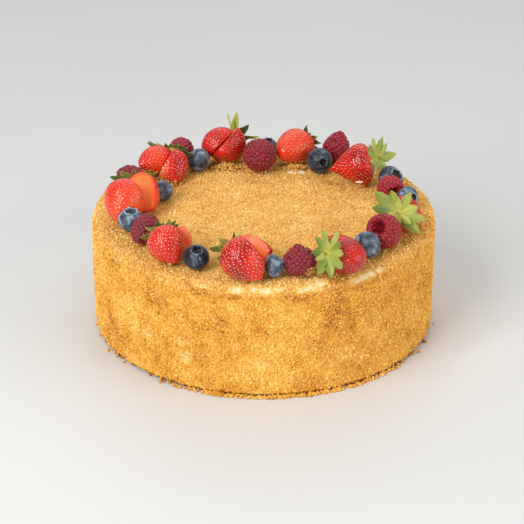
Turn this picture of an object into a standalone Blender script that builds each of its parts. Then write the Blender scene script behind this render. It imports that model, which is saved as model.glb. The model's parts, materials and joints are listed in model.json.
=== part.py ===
# A round honey cake in a coat of its own crumbs, with a wreath of berries on top.
# Metres, +Z up. The origin is the middle of the cake's foot, and the front faces -Y.
# The strawberries are cut lengthwise and fanned, so most of them are two pieces and a leaf cap.

import math
import random

import bmesh
import bpy
from mathutils import Matrix, Vector

MM = 0.001

CAKE_HEIGHT = 70.0 * MM
FOOT_RADIUS = 101.4 * MM
TOP_RADIUS = 102.2 * MM
RIM_ROUND = 5.0 * MM
CAKE_SIDES = 84
SIDE_ROWS = 11
CRUMB_RELIEF = 1.1 * MM
CRUMB_SCALE = 7.0 * MM

GAP = 0.35 * MM
LEAF_THICKNESS = 0.55 * MM
LEAF_HUB = 2.6 * MM
LEAF_ROOM = 0.9
LEAF_REACH = (0.85, 1.08)
LEAF_RISE = (-6.0, 12.0)
LEAF_SEED = 11

# at is where the middle of a berry stands on the cake, in mm from the cake's middle.
# A direction is a yaw from +X and a pitch up from level, in degrees.
# tip is where a strawberry's point looks, and size is its length, width and height in mm.
# face is where its cut face looks, and kept is how far beyond its middle the cut runs, in mm.
STRAWBERRY_PIECES = [
    {"name": "strawberry_1_front", "at": (-81.6, -15.6), "size": (25.6, 24.2, 23.2), "tip": (-99, -10),
     "face": (50, 5), "kept": 4.5},
    {"name": "strawberry_1_back", "at": (-72.0, -1.5), "size": (24, 20.8, 21.5), "tip": (-64, -9),
     "face": (-141, 8), "kept": 0.5},
    {"name": "strawberry_2_left", "at": (-67.5, 45.5), "size": (24, 19.8, 18.5), "tip": (-116, -9),
     "face": (16, 0), "kept": 4.3},
    {"name": "strawberry_2_right", "at": (-54.6, 37.6), "size": (24, 19.4, 19.5), "tip": (-78, -9),
     "face": (-164, 6), "kept": 5.0},
    {"name": "strawberry_3_left", "at": (-27.8, 63.6), "size": (24, 22.0, 22.5), "tip": (-86, -9),
     "face": (52, -10), "kept": 3.4},
    {"name": "strawberry_3_right", "at": (-20.2, 67.4), "size": (23, 19.5, 21.5), "tip": (-100, -9),
     "face": (-128, 10), "kept": 3.4},
    {"name": "strawberry_4", "at": (18.0, 64.6), "size": (25.6, 24.6, 20.6), "tip": (-130, -7)},
    {"name": "strawberry_5", "at": (54.0, 37.8), "size": (27, 24.0, 24.0), "tip": (-174, -11)},
    {"name": "strawberry_6", "at": (81.4, -28.6), "size": (23, 20.5, 21.0), "tip": (66, -26)},
    {"name": "strawberry_7", "at": (45.3, -82.1), "size": (26.6, 24.5, 23.5), "tip": (44, -16)},
    {"name": "strawberry_8_front", "at": (-11.0, -91.0), "size": (26, 24.6, 24.2), "tip": (-62, -12),
     "face": (68, -10), "kept": 3.6},
    {"name": "strawberry_8_back", "at": (-5.8, -78.6), "size": (22, 21.0, 21.0), "tip": (-14, -8),
     "face": (-112, 12), "kept": 1.0},
    {"name": "strawberry_9_front", "at": (-53.9, -70.2), "size": (22, 21.2, 20.0), "tip": (-82, -9),
     "face": (40, -8), "kept": 5.0},
    {"name": "strawberry_9_back", "at": (-47.4, -63.0), "size": (20, 17.8, 18.2), "tip": (-46, -9),
     "face": (-138, 10), "kept": 1.0},
]

# A cap sits back mm behind the stalk end of its berry and looks away from the point, or where looks says.
# leaf is the length and the width of one leaf in mm, and lift bends the leaves away from the berry.
# pushed lists the leaves that meet a neighbour: how far it bends them up, in degrees, and their share of
# the full length.
LEAF_CAPS = [
    {"name": "leaf_cap_1", "berry": "strawberry_1_back", "leaves": 9, "leaf": (10.0, 5.0), "lift": -6,
     "back": 1.0, "looks": (104, 22), "pushed": {}},
    {"name": "leaf_cap_2", "berry": "strawberry_2_right", "leaves": 9, "leaf": (12.0, 4.6), "lift": -4,
     "back": 5.5, "looks": (76, 34), "pushed": {5: (26, 0.9)}},
    {"name": "leaf_cap_3", "berry": "strawberry_3_right", "leaves": 9, "leaf": (11.5, 5.0), "lift": 24,
     "back": 0.5, "looks": (70, 34), "pushed": {}},
    {"name": "leaf_cap_4", "berry": "strawberry_4", "leaves": 9, "leaf": (10.0, 5.0), "lift": -8,
     "back": 0.0, "looks": (46, 4), "pushed": {}},
    {"name": "leaf_cap_5", "berry": "strawberry_5", "leaves": 10, "leaf": (13.0, 6.2), "lift": 20,
     "back": 2.8, "looks": (-40, 38), "pushed": {3: (10, 1.0), 6: (8, 0.5), 7: (12, 0.3), 8: (10, 0.45)}},
    {"name": "leaf_cap_6", "berry": "strawberry_6", "leaves": 10, "leaf": (13.5, 6.8), "lift": 8,
     "back": 0.5, "pushed": {6: (26, 0.58), 7: (38, 0.45), 8: (34, 0.6)}},
    {"name": "leaf_cap_7", "berry": "strawberry_7", "leaves": 10, "leaf": (12.0, 6.0), "lift": 4,
     "back": 1.6, "pushed": {5: (28, 0.65), 6: (28, 0.65), 7: (12, 0.85)}},
    {"name": "leaf_cap_8", "berry": "strawberry_8_front", "leaves": 9, "leaf": (10.5, 5.0), "lift": 4,
     "back": 2.0, "looks": (146, 22), "pushed": {}},
    {"name": "leaf_cap_9", "berry": "strawberry_9_front", "leaves": 9, "leaf": (9.5, 5.0), "lift": 0,
     "back": 2.6, "looks": (112, 26), "pushed": {3: (10, 1.0), 4: (26, 0.9), 5: (22, 1.0)}},
]

# size is a raspberry's length and width in mm.
RASPBERRIES = [
    {"name": "raspberry_1", "at": (-82.4, 27.6), "size": (16.0, 13.2), "tip": (110, 4)},
    {"name": "raspberry_2", "at": (-51.3, 70.6), "size": (15.0, 14.2), "tip": (100, 16)},
    {"name": "raspberry_3", "at": (-68.6, -48.0), "size": (19.5, 14.0), "tip": (-112, -12)},
    {"name": "raspberry_4", "at": (-3.4, 51.6), "size": (18.4, 19.4), "tip": (-105, -12)},
    {"name": "raspberry_5", "at": (45.4, 67.0), "size": (20.0, 16.0), "tip": (20, 76)},
    {"name": "raspberry_6", "at": (74.5, 12.4), "size": (15.8, 16.0), "tip": (108, -8)},
    {"name": "raspberry_7", "at": (70.6, -52.2), "size": (18.5, 19.0), "tip": (51, -38)},
    {"name": "raspberry_8", "at": (20.1, -85.7), "size": (16.0, 17.6), "tip": (150, 80)},
]

# crown is where the little crown at a blueberry's flower end looks, and flat is its height over its width.
BLUEBERRIES = [
    {"name": "blueberry_1", "at": (-77.8, -34.0), "across": 14.0, "crown": (-50, 77)},
    {"name": "blueberry_2", "at": (-59.8, 9.9), "across": 12.6, "crown": (96, 44)},
    {"name": "blueberry_3", "at": (-40.8, 53.5), "across": 14.2, "crown": (-121, 36)},
    {"name": "blueberry_4", "at": (2.5, 78.3), "across": 12.0, "crown": (-60, 72)},
    {"name": "blueberry_5", "at": (34.3, 51.8), "across": 15.8, "crown": (-74, 15)},
    {"name": "blueberry_6", "at": (77.0, 28.4), "across": 15.0, "crown": (-42, 42)},
    {"name": "blueberry_7", "at": (86.4, 1.6), "across": 12.6, "crown": (-54, 19)},
    {"name": "blueberry_8", "at": (57.0, -67.0), "across": 13.7, "crown": (60, 12)},
    {"name": "blueberry_9", "at": (5.6, -89.2), "across": 13.2, "crown": (16, 6), "flat": 0.78},
    {"name": "blueberry_10", "at": (-37.4, -80.2), "across": 14.8, "crown": (-81, 63)},
]


def clear_scene():
    for thing in list(bpy.data.objects):
        bpy.data.objects.remove(thing, do_unlink=True)


def make_material(name, colour, roughness):
    material = bpy.data.materials.new(name)
    material.use_nodes = True
    shader = material.node_tree.nodes["Principled BSDF"]
    shader.inputs["Base Color"].default_value = (*colour, 1.0)
    shader.inputs["Roughness"].default_value = roughness
    shader.inputs["Metallic"].default_value = 0.0
    return material


def add_object(name, bm, material, collection, smooth_angle=35.0):
    mesh = bpy.data.meshes.new(name)
    bm.to_mesh(mesh)
    bm.free()
    mesh.shade_smooth()
    mesh.set_sharp_from_angle(angle=math.radians(smooth_angle))
    mesh.materials.append(material)
    thing = bpy.data.objects.new(name, mesh)
    collection.objects.link(thing)
    return thing


def direction(yaw, pitch):
    yaw, pitch = math.radians(yaw), math.radians(pitch)
    return Vector((math.cos(pitch) * math.cos(yaw), math.cos(pitch) * math.sin(yaw), math.sin(pitch)))


def turn_to(way):
    """The rotation that takes +Z to a direction, with +Y kept as near level as it can be."""
    return way.to_track_quat("Z", "Y").to_matrix().to_4x4()


def set_down(bm, at):
    """Moves a shape to its place and lets its lowest point rest on the crumbs."""
    lowest = min(v.co.z for v in bm.verts)
    lift = Vector((at[0] * MM, at[1] * MM, CAKE_HEIGHT + GAP - lowest))
    bmesh.ops.translate(bm, verts=bm.verts, vec=lift)
    return lift


def cake_profile():
    """From the middle of the top, over the rounded rim, down the side to the middle of the foot."""
    top_rings = [0.0, 22.0, 42.0, 58.0, 72.0, 84.0, 92.0]
    points = [(r * MM, CAKE_HEIGHT) for r in top_rings]
    centre_r, centre_z = TOP_RADIUS - RIM_ROUND, CAKE_HEIGHT - RIM_ROUND
    for step in range(4):
        turn = math.radians(30.0 * step)
        points.append((centre_r + RIM_ROUND * math.sin(turn), centre_z + RIM_ROUND * math.cos(turn)))
    for row in range(1, SIDE_ROWS + 1):
        down = row / SIDE_ROWS
        points.append((TOP_RADIUS + (FOOT_RADIUS - TOP_RADIUS) * down, centre_z * (1.0 - down)))
    points.append((0.0, 0.0))
    return points


def make_cake(material, collection):
    bm = bmesh.new()
    verts = [bm.verts.new((r, 0.0, z)) for r, z in cake_profile()]
    for upper, lower in zip(verts, verts[1:]):
        bm.edges.new((upper, lower))
    cake = add_object("cake_body", bm, material, collection)
    coated = cake.vertex_groups.new(name="coated")
    coated.add([v.index for v in cake.data.vertices if v.co.z > 0.5 * MM], 1.0, "REPLACE")

    screw = cake.modifiers.new("turn", "SCREW")
    screw.axis = "Z"
    screw.steps = CAKE_SIDES
    screw.render_steps = CAKE_SIDES
    screw.use_merge_vertices = True
    screw.merge_threshold = 0.0001
    screw.use_smooth_shade = True

    # The coat only goes inwards from the turned form, so nothing that rests on it is cut.
    clouds = bpy.data.textures.new("crumb_clouds", "CLOUDS")
    clouds.noise_scale = CRUMB_SCALE
    clouds.noise_depth = 2
    coat = cake.modifiers.new("crumb_coat", "DISPLACE")
    coat.texture = clouds
    coat.texture_coords = "LOCAL"
    coat.vertex_group = "coated"
    coat.strength = CRUMB_RELIEF
    coat.mid_level = 1.0
    return cake


def strawberry_form(length, width, height, way):
    """A strawberry at the origin: its point looks along way, and its height is the way up."""
    bm = bmesh.new()
    bmesh.ops.create_uvsphere(bm, u_segments=12, v_segments=9, radius=1.0)
    fullest = 0.40  # share of the length from the stalk at which the berry is widest
    bluntness = 0.68  # under 1 the ends are fuller than an ellipse's
    skew = math.log(0.5) / math.log(fullest)
    for v in bm.verts:
        from_stalk = math.acos(max(-1.0, min(1.0, -v.co.z))) / math.pi
        ring = math.hypot(v.co.x, v.co.y)
        swell = max(0.0, math.sin(math.pi * from_stalk ** skew)) ** bluntness / max(ring, 1e-6)
        v.co.x *= swell * width * MM / 2.0
        v.co.y *= swell * height * MM / 2.0
        v.co.z = (from_stalk - 0.5) * length * MM
    bmesh.ops.transform(bm, matrix=turn_to(way), verts=bm.verts)
    return bm


def make_strawberry_piece(piece, material, collection):
    way = direction(*piece["tip"])
    bm = strawberry_form(*piece["size"], way)
    if "face" in piece:
        face = direction(*piece["face"])
        cut = bmesh.ops.bisect_plane(
            bm, geom=bm.verts[:] + bm.edges[:] + bm.faces[:], dist=1e-6,
            plane_co=face * piece["kept"] * MM, plane_no=face, clear_outer=True)
        rim = [e for e in cut["geom_cut"] if isinstance(e, bmesh.types.BMEdge)]
        bmesh.ops.holes_fill(bm, edges=rim)
    lift = set_down(bm, piece["at"])
    add_object(piece["name"], bm, material, collection)
    stalk_end = lift - way * (piece["size"][0] * MM / 2.0)
    return stalk_end, -way


def make_leaf_cap(cap, stalk_end, outward, material, collection, draw):
    """A ring of leaves on a small hub: for each leaf two edges of it are pulled out and drawn to a point."""
    length, width = (value * MM for value in cap["leaf"])
    count = cap["leaves"]
    room = LEAF_ROOM * math.tan(math.pi / count)  # half a leaf's share, for each mm from the middle
    widest, fold = 0.46, 0.5 * MM  # where along a leaf it is widest, and how far its sides hang below its rib
    bm = bmesh.new()
    made = bmesh.ops.create_circle(bm, cap_ends=True, cap_tris=True, segments=3 * count, radius=LEAF_HUB)
    hub_ring = [v for v in made["verts"] if v.co.length > LEAF_HUB / 2.0]
    hub_ring.sort(key=lambda v: math.atan2(v.co.y, v.co.x) % math.tau)
    for leaf in range(count):
        root = [hub_ring[(3 * leaf + k) % len(hub_ring)] for k in range(3)]
        way = root[1].co.normalized()
        across = Vector((-way.y, way.x, 0.0))
        bent, kept = cap["pushed"].get(leaf, (0.0, 1.0))
        reach = length * kept * draw.uniform(*LEAF_REACH)
        rise = math.radians(cap["lift"] + bent + draw.uniform(*LEAF_RISE))
        edges = [next(e for e in a.link_edges if b in e.verts) for a, b in zip(root, root[1:])]
        for share, spread in ((widest, 1.0), (1.0, 0.0)):
            out = bmesh.ops.extrude_edge_only(bm, edges=edges)["geom"]
            edges = [g for g in out if isinstance(g, bmesh.types.BMEdge)
                     and all(v in out for v in g.verts)]
            row = sorted({v for e in edges for v in e.verts}, key=lambda v: v.co.dot(across))
            for side, v in zip((-1.0, 0.0, 1.0), row):
                away = LEAF_HUB + reach * share * math.cos(rise)
                height = reach * share * math.sin(rise) - abs(side) * fold
                half = spread * min(width / 2.0, room * away)
                v.co = way * away + across * side * half + Vector((0.0, 0.0, height))
        bmesh.ops.pointmerge(bm, verts=row, merge_co=row[1].co)
    bmesh.ops.triangulate(bm, faces=bm.faces[:])
    bmesh.ops.recalc_face_normals(bm, faces=bm.faces[:])
    if sum(f.normal.z for f in bm.faces) < 0.0:
        bmesh.ops.reverse_faces(bm, faces=bm.faces[:])
    base = stalk_end + outward * (GAP * 1.5 + cap["back"] * MM)
    place = Matrix.Translation(base) @ turn_to(outward)
    bmesh.ops.transform(bm, matrix=place, verts=bm.verts)
    thing = add_object(cap["name"], bm, material, collection, smooth_angle=60.0)
    thick = thing.modifiers.new("leaf_thickness", "SOLIDIFY")
    thick.thickness = LEAF_THICKNESS
    thick.offset = 1.0
    return thing


def spiral_points(count):
    """Points spread evenly over a ball along one spiral from its top."""
    golden = math.pi * (3.0 - math.sqrt(5.0))
    points = []
    for i in range(count):
        z = 1.0 - 2.0 * (i + 0.5) / count
        ring = math.sqrt(1.0 - z * z)
        points.append(Vector((ring * math.cos(golden * i), ring * math.sin(golden * i), z)))
    return points


def raspberry_profile(from_tip, length, width):
    """Radius and height at a share of the way from the point, over the open end and into the hollow."""
    brim, past_widest = 0.74, math.radians(104.0)
    if from_tip < brim:
        along = from_tip / brim
        radius = width / 2.0 * math.sin(past_widest * along) ** 0.8
        return radius, length * (0.5 - along ** 1.35)
    inward = (from_tip - brim) / (1.0 - brim)
    mouth, depth = 0.86, 0.5
    radius = width / 2.0 * mouth * (1.0 - inward) ** 0.55
    return radius, length * (-0.5 + depth * inward ** 1.5)


def make_raspberry(berry, material, collection):
    """Drupelets are cells round spread points: their middles stand proud and their borders sink."""
    length, width = (value * MM for value in berry["size"])
    proud, sunk, drupelets = 0.75 * MM, 0.35 * MM, 62
    bm = bmesh.new()
    for point in spiral_points(drupelets):
        bm.verts.new(point)
    bmesh.ops.convex_hull(bm, input=bm.verts[:])
    middles = set(bm.verts)
    hull_edges = bm.edges[:]
    bmesh.ops.poke(bm, faces=bm.faces[:])
    bmesh.ops.rotate_edges(bm, edges=hull_edges)
    for v in bm.verts:
        from_tip = math.acos(max(-1.0, min(1.0, v.co.normalized().z))) / math.pi
        turn = math.atan2(v.co.y, v.co.x)
        radius, height = raspberry_profile(from_tip, length, width)
        v.co = Vector((radius * math.cos(turn), radius * math.sin(turn), height))
    bmesh.ops.recalc_face_normals(bm, faces=bm.faces[:])
    bm.normal_update()
    moves = {v: v.normal * (proud if v in middles else -sunk) for v in bm.verts}
    for v, move in moves.items():
        v.co += move
    bmesh.ops.transform(bm, matrix=turn_to(direction(*berry["tip"])), verts=bm.verts)
    set_down(bm, berry["at"])
    add_object(berry["name"], bm, material, collection)


def make_blueberry(berry, material, collection):
    """A slightly flat ball whose first three rings are folded into a crown round a small pit."""
    radius = berry["across"] * MM / 2.0
    flat = berry.get("flat", 0.93)
    rings = 10
    # How far from the middle and how high each of the first rings stands, in radii.
    crown = {0: (0.0, 0.84), 1: (0.24, 0.86), 2: (0.40, 1.10), 3: (0.46, 0.90)}
    points, point_rise, point_spread = 5, 0.07, 0.05
    shoulder = math.asin(crown[3][0])
    bm = bmesh.new()
    bmesh.ops.create_uvsphere(bm, u_segments=10, v_segments=rings, radius=1.0)
    for v in bm.verts:
        ring = round(math.acos(max(-1.0, min(1.0, v.co.z))) / math.pi * rings)
        turn = math.atan2(v.co.y, v.co.x)
        if ring in crown:
            away, height = crown[ring]
            if ring == 2:
                height += point_rise * math.cos(points * turn)
                away += point_spread * math.cos(points * turn)
        else:
            polar = shoulder + (math.pi - shoulder) * (ring - 3) / (rings - 3)
            away, height = math.sin(polar), math.cos(polar)
        v.co = Vector((away * math.cos(turn), away * math.sin(turn), flat * height)) * radius
    bmesh.ops.transform(bm, matrix=turn_to(direction(*berry["crown"])), verts=bm.verts)
    set_down(bm, berry["at"])
    add_object(berry["name"], bm, material, collection)


def build():
    clear_scene()
    collection = bpy.data.collections.new("honey_cake")
    bpy.context.scene.collection.children.link(collection)

    crumb = make_material("honey_cake_crumb", (0.60, 0.34, 0.09), 0.9)
    strawberry = make_material("strawberry_skin", (0.62, 0.03, 0.02), 0.3)
    leaf = make_material("strawberry_leaf", (0.30, 0.40, 0.08), 0.55)
    raspberry = make_material("raspberry_flesh", (0.30, 0.015, 0.04), 0.4)
    blueberry = make_material("blueberry_skin", (0.03, 0.045, 0.09), 0.5)

    make_cake(crumb, collection)
    stalks = {}
    for piece in STRAWBERRY_PIECES:
        stalks[piece["name"]] = make_strawberry_piece(piece, strawberry, collection)
    draw = random.Random(LEAF_SEED)
    for cap in LEAF_CAPS:
        stalk_end, outward = stalks[cap["berry"]]
        if "looks" in cap:
            outward = direction(*cap["looks"])
        make_leaf_cap(cap, stalk_end, outward, leaf, collection, draw)
    for berry in RASPBERRIES:
        make_raspberry(berry, raspberry, collection)
    for berry in BLUEBERRIES:
        make_blueberry(berry, blueberry, collection)


build()
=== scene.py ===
import json
import math
import random

import bpy
import numpy as np
from mathutils import Matrix, Vector, noise
from mathutils.kdtree import KDTree

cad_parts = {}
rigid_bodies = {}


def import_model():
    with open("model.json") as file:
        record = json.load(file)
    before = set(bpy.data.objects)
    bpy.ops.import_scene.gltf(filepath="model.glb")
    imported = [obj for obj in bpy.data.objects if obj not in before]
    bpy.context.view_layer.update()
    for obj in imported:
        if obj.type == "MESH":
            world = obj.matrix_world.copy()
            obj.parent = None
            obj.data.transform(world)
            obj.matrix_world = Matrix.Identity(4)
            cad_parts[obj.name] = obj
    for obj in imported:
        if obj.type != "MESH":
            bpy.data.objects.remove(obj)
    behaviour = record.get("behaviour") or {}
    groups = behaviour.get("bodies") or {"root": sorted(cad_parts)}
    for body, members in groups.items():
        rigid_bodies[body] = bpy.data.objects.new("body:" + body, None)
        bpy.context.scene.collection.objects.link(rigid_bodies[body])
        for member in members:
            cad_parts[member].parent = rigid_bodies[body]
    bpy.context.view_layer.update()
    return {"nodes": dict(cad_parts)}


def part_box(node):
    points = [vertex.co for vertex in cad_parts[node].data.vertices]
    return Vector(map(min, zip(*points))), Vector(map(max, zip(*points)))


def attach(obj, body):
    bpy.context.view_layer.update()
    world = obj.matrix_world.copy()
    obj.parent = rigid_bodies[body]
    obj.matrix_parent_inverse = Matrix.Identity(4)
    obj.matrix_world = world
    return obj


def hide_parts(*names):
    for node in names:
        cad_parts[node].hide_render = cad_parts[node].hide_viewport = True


# The looks of a honey cake in a coat of its own crumbs, with a wreath of berries on top.
# Everything is in metres. Values in the dictionaries are in millimetres and degrees.

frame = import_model()
mm = 0.001
goldenTurn = math.pi * (3.0 - math.sqrt(5.0))


def deselectAll():
    bpy.ops.object.select_all(action="DESELECT")


def editMesh(done=False):
    bpy.ops.object.mode_set(mode="OBJECT" if done else "EDIT")


def unselectMesh():
    # Leaves nothing of the active piece's mesh selected, so that its parts can be picked in code.
    editMesh()
    bpy.ops.mesh.select_all(action="DESELECT")
    editMesh(done=True)


def pick(*pieces):
    deselectAll()
    for piece in pieces:
        piece.select_set(True)
    bpy.context.view_layer.objects.active = pieces[0]


def named(name):
    piece = bpy.context.active_object  # the primitive that was just added, or the piece that was joined
    piece.name = piece.data.name = name
    return piece


def applyModifiers(piece):
    pick(piece)
    for name in [m.name for m in piece.modifiers]:
        bpy.ops.object.modifier_apply(modifier=name)


def readPoints(piece, normals=False):
    source, key = (piece.data.vertex_normals, "vector") if normals else (piece.data.vertices, "co")
    flat = np.empty(len(source) * 3, np.float32)
    source.foreach_get(key, flat)
    return flat.reshape(-1, 3).astype(float)


def writePoints(piece, points):
    piece.data.vertices.foreach_set("co", points.astype(np.float32).ravel())
    piece.data.update()


def writeValue(piece, name, values):
    layer = piece.data.attributes.get(name) or piece.data.attributes.new(name, "FLOAT", "POINT")
    layer.data.foreach_set("value", np.broadcast_to(values, len(layer.data)).astype(np.float32))


def keepAboveFloor(piece):
    points = readPoints(piece)
    points[:, 2] = np.maximum(points[:, 2], 0.02 * mm)
    writePoints(piece, points)


def searchTree(points):
    tree = KDTree(len(points))
    for index, point in enumerate(points):
        tree.insert(point, index)
    tree.balance()
    return tree


def direction(yaw, pitch):
    yaw, pitch = math.radians(yaw), math.radians(pitch)
    return Vector((math.cos(pitch) * math.cos(yaw), math.cos(pitch) * math.sin(yaw), math.sin(pitch)))


def turnTo(way):
    return np.array(way.to_track_quat("Z", "Y").to_matrix())  # +Z goes to way, and +Y stays as level as it can


def smoothBump(distance, reach):
    return np.exp(-(distance / reach) ** 2)


def setDown(piece, at, node, up=0.0):
    # Moves a shape that was made at the origin to its place, at the height of the solid it stands for, and
    # up mm more.
    points = readPoints(piece)
    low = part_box(node)[0]
    lift = np.array([at[0] * mm, at[1] * mm, low.z + up * mm - points[:, 2].min()])
    writePoints(piece, points + lift)
    return Vector(lift)


def finishPiece(piece, slot, *nodes):
    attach(piece, "root")
    if nodes:
        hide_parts(*nodes)


# Materials

def linear(hexColour):
    parts = [int(hexColour[i:i + 2], 16) / 255.0 for i in (1, 3, 5)]
    return tuple(c / 12.92 if c <= 0.04045 else ((c + 0.055) / 1.055) ** 2.4 for c in parts) + (1.0,)


def addNode(tree, kind, values=None, stops=None, **settings):
    # A value is a number, a colour, a socket to link from, or a node, which is linked from its first output.
    made = tree.nodes.new(kind)
    for name, value in settings.items():
        setattr(made, name, value)
    for place, value in (values or {}).items():
        value = value.outputs[0] if isinstance(value, bpy.types.Node) else value
        if isinstance(value, bpy.types.NodeSocket):
            tree.links.new(value, made.inputs[place])
        else:
            made.inputs[place].default_value = linear(value) if str(value).startswith("#") else value
    if stops:
        for place, colour in stops[1:-1]:
            made.color_ramp.elements.new(place)
        for element, (place, colour) in zip(made.color_ramp.elements, stops):
            element.position, element.color = place, linear(colour)
    return made


def setFinish(material, **finish):
    # Sets the shader's sockets, each to a value or from a node. A _ stands for a space in a socket's name.
    tree = material.node_tree
    for name, value in finish.items():
        socket = tree.nodes["Principled BSDF"].inputs[name.replace("_", " ")]
        if isinstance(value, bpy.types.Node):
            tree.links.new(value.outputs[0], socket)
        else:
            socket.default_value = value
    return material


def newMaterial(name, **finish):
    material = bpy.data.materials.new(name)
    material.use_nodes = True
    return setFinish(material, **finish), material.node_tree


def grain(size):
    return 1.0 / (size * mm)  # a noise texture's scale for features of that size


crumbShades = [(0.0, "#875022"), (0.14, "#b97834"), (0.34, "#d89f4a"), (0.58, "#e9ba5b"), (0.82, "#f4ca76"),
               (1.0, "#fbe2a6")]
rimBand = (69.0, 62.0)  # the heights between which the cake's top turns into its side


def topToSide(tree, place, onTop=0.0, onSide=1.0):
    split = addNode(tree, "ShaderNodeSeparateXYZ", {0: place})
    return addNode(tree, "ShaderNodeMapRange", {
        "Value": split.outputs["Z"], "From Min": rimBand[0] * mm, "From Max": rimBand[1] * mm,
        "To Min": onTop, "To Max": onSide})


def bakedPatchesAndPaintedShade(tree, place):
    # Where the biscuit came out browner or yellower: wide and narrow patches, from about -0.12 to +0.12.
    wide, small = [addNode(tree, "ShaderNodeTexNoise", {"Vector": place, "Scale": grain(size), "Detail": 2.0})
                   for size in (30.0, 9.0)]
    both = addNode(tree, "ShaderNodeMath", {0: wide, 1: small}, operation="ADD")
    evened = addNode(tree, "ShaderNodeMath", {0: both, 1: 1.02}, operation="SUBTRACT")
    # Painted light and shade: besides the patches, the top is made a little darker and the side a little lighter.
    return addNode(tree, "ShaderNodeMath", {0: evened, 1: topToSide(tree, place, 0.40, 0.68),
                                            2: topToSide(tree, place, -0.045, 0.03)}, operation="MULTIPLY_ADD")


def paintedGoldBounce(tree, place, colour):
    # Painted warm light: the side is tinted a deeper gold, standing in for the bounce light of the golden board that
    # the scene leaves out.
    return addNode(tree, "ShaderNodeMixRGB", {"Fac": topToSide(tree, place), "Color1": colour, "Color2": "#fff1bf"},
                   blend_type="MULTIPLY")


# Honey biscuit crumb: baked, broken and sieved, so dry and matt, from straw yellow to toasted brown.
# Each crumb carries its own tone from 0, toasted, to 1, pale.
def crumbMaterial():
    material, tree = newMaterial("toastedHoneyCrumb", Roughness=0.9, IOR=1.45)
    place = addNode(tree, "ShaderNodeTexCoord").outputs["Object"]
    tone = addNode(tree, "ShaderNodeAttribute", attribute_name="tone").outputs["Fac"]
    pores = addNode(tree, "ShaderNodeTexNoise", {"Vector": place, "Scale": grain(0.5), "Detail": 2.0})
    # The pores also drive the bump, so their low spots are painted a little darker, as shade.
    grainy = addNode(tree, "ShaderNodeMath", {0: pores, 1: 0.25, 2: tone}, operation="MULTIPLY_ADD")
    # The patches also paint the top darker and the side lighter, as shade and light.
    mixed = addNode(tree, "ShaderNodeMath", {0: grainy, 1: bakedPatchesAndPaintedShade(tree, place)}, operation="ADD")
    shade = addNode(tree, "ShaderNodeValToRGB", {"Fac": mixed}, stops=crumbShades)
    bump = addNode(tree, "ShaderNodeBump", {"Strength": 0.5, "Distance": 0.2 * mm, "Height": pores})
    # The side's deeper gold is painted bounce light.
    return setFinish(material, Base_Color=paintedGoldBounce(tree, place, shade), Normal=bump)


# The ground under the loose crumbs: finer crumbs pressed into soured cream, painted a little darker in its
# pits as shade, and whiter wherever the coat is thin and the cream shines through.
def groundMaterial():
    material, tree = newMaterial("crumbCoatOverCream", Roughness=0.85, IOR=1.45)
    place = addNode(tree, "ShaderNodeTexCoord").outputs["Object"]
    tint, cream = [addNode(tree, "ShaderNodeAttribute", attribute_name=name).outputs["Fac"]
                   for name in ("tint", "cream")]
    fine = addNode(tree, "ShaderNodeTexNoise", {"Vector": place, "Scale": grain(1.1), "Detail": 3.0,
                                                "Roughness": 0.65})
    # The same noise drives the bump, so its low spots are painted darker, as shade.
    spread = addNode(tree, "ShaderNodeMapRange", {"Value": fine, "From Min": 0.32, "From Max": 0.70,
                                                  "To Min": 0.08, "To Max": 0.9}, clamp=False)
    # The patches also paint the top darker and the side lighter, as shade and light.
    mixed = addNode(tree, "ShaderNodeMath", {0: spread, 1: bakedPatchesAndPaintedShade(tree, place)}, operation="ADD")
    tinted = addNode(tree, "ShaderNodeMath", {0: mixed, 1: tint}, operation="ADD")
    shade = addNode(tree, "ShaderNodeValToRGB", {"Fac": tinted}, stops=crumbShades)
    ragged = addNode(tree, "ShaderNodeTexNoise", {"Vector": place, "Scale": grain(2.2), "Detail": 3.0})
    edge = addNode(tree, "ShaderNodeMath", {0: ragged, 1: 2.0, 2: -1.45}, operation="MULTIPLY_ADD")
    bare = addNode(tree, "ShaderNodeMath", {0: cream, 1: 2.0, 2: edge}, operation="MULTIPLY_ADD", use_clamp=True)
    thick = addNode(tree, "ShaderNodeMath", {0: bare, 1: 2.0}, operation="POWER")
    milky = addNode(tree, "ShaderNodeMixRGB", {"Fac": thick, "Color1": "#fcd87c", "Color2": "#ecdab0"})
    # The side's deeper gold is painted bounce light.
    mix = addNode(tree, "ShaderNodeMixRGB", {"Fac": bare, "Color1": paintedGoldBounce(tree, place, shade),
                                             "Color2": milky})
    bump = addNode(tree, "ShaderNodeBump", {"Strength": 0.7, "Distance": 0.5 * mm, "Height": fine})
    return setFinish(material, Base_Color=mix, Normal=bump)


# The crumb coat
coat = {
    "inset": 0.55,      # how far the ground lies inside the cake's outline: loose crumbs make up the rest
    "sides": 160, "rim": 5.0, "rimSteps": 6,            # round the cake, and the radius of its rounded top edge
    "cell": 1.12,       # the ground's mesh size
    "flatFoot": 0.5,    # no waves up to this height
    "waves": [(26.0, 0.7), (6.0, 0.8), (2.2, 0.7)],     # size and depth of its unevenness, coarse to fine
    "topBand": 3.0,     # down to here a point counts as on top
    "sideFrom": 0.9, "spotsFrom": 0.93,                 # shares of the radius at which side and spots begin
    "rimFrom": 0.80, "rimWidth": 0.12,                  # the same for the coarse crumbs, and over what width
    "clumps": 11.0,     # size of the patches where coarse crumbs gather
    "coarse": (0.15, 0.95, 1.6, 2.2),                   # on top, more on the side, how patchy, and the most
    "undercut": (3.0, 2.2),                             # how high and how deep the foot draws in
    "crevice": 1.9,                                     # bare, and painted dark as shade, up to this height in the undercut
    # How much paler the coat is painted over cream, and how much darker in the crevice, as painted shade.
    "creamTint": 0.3, "creviceShade": -0.9,
    "bed": (6.5, 0.7),                                  # reach and height of the bed that a berry sits in
}

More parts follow.
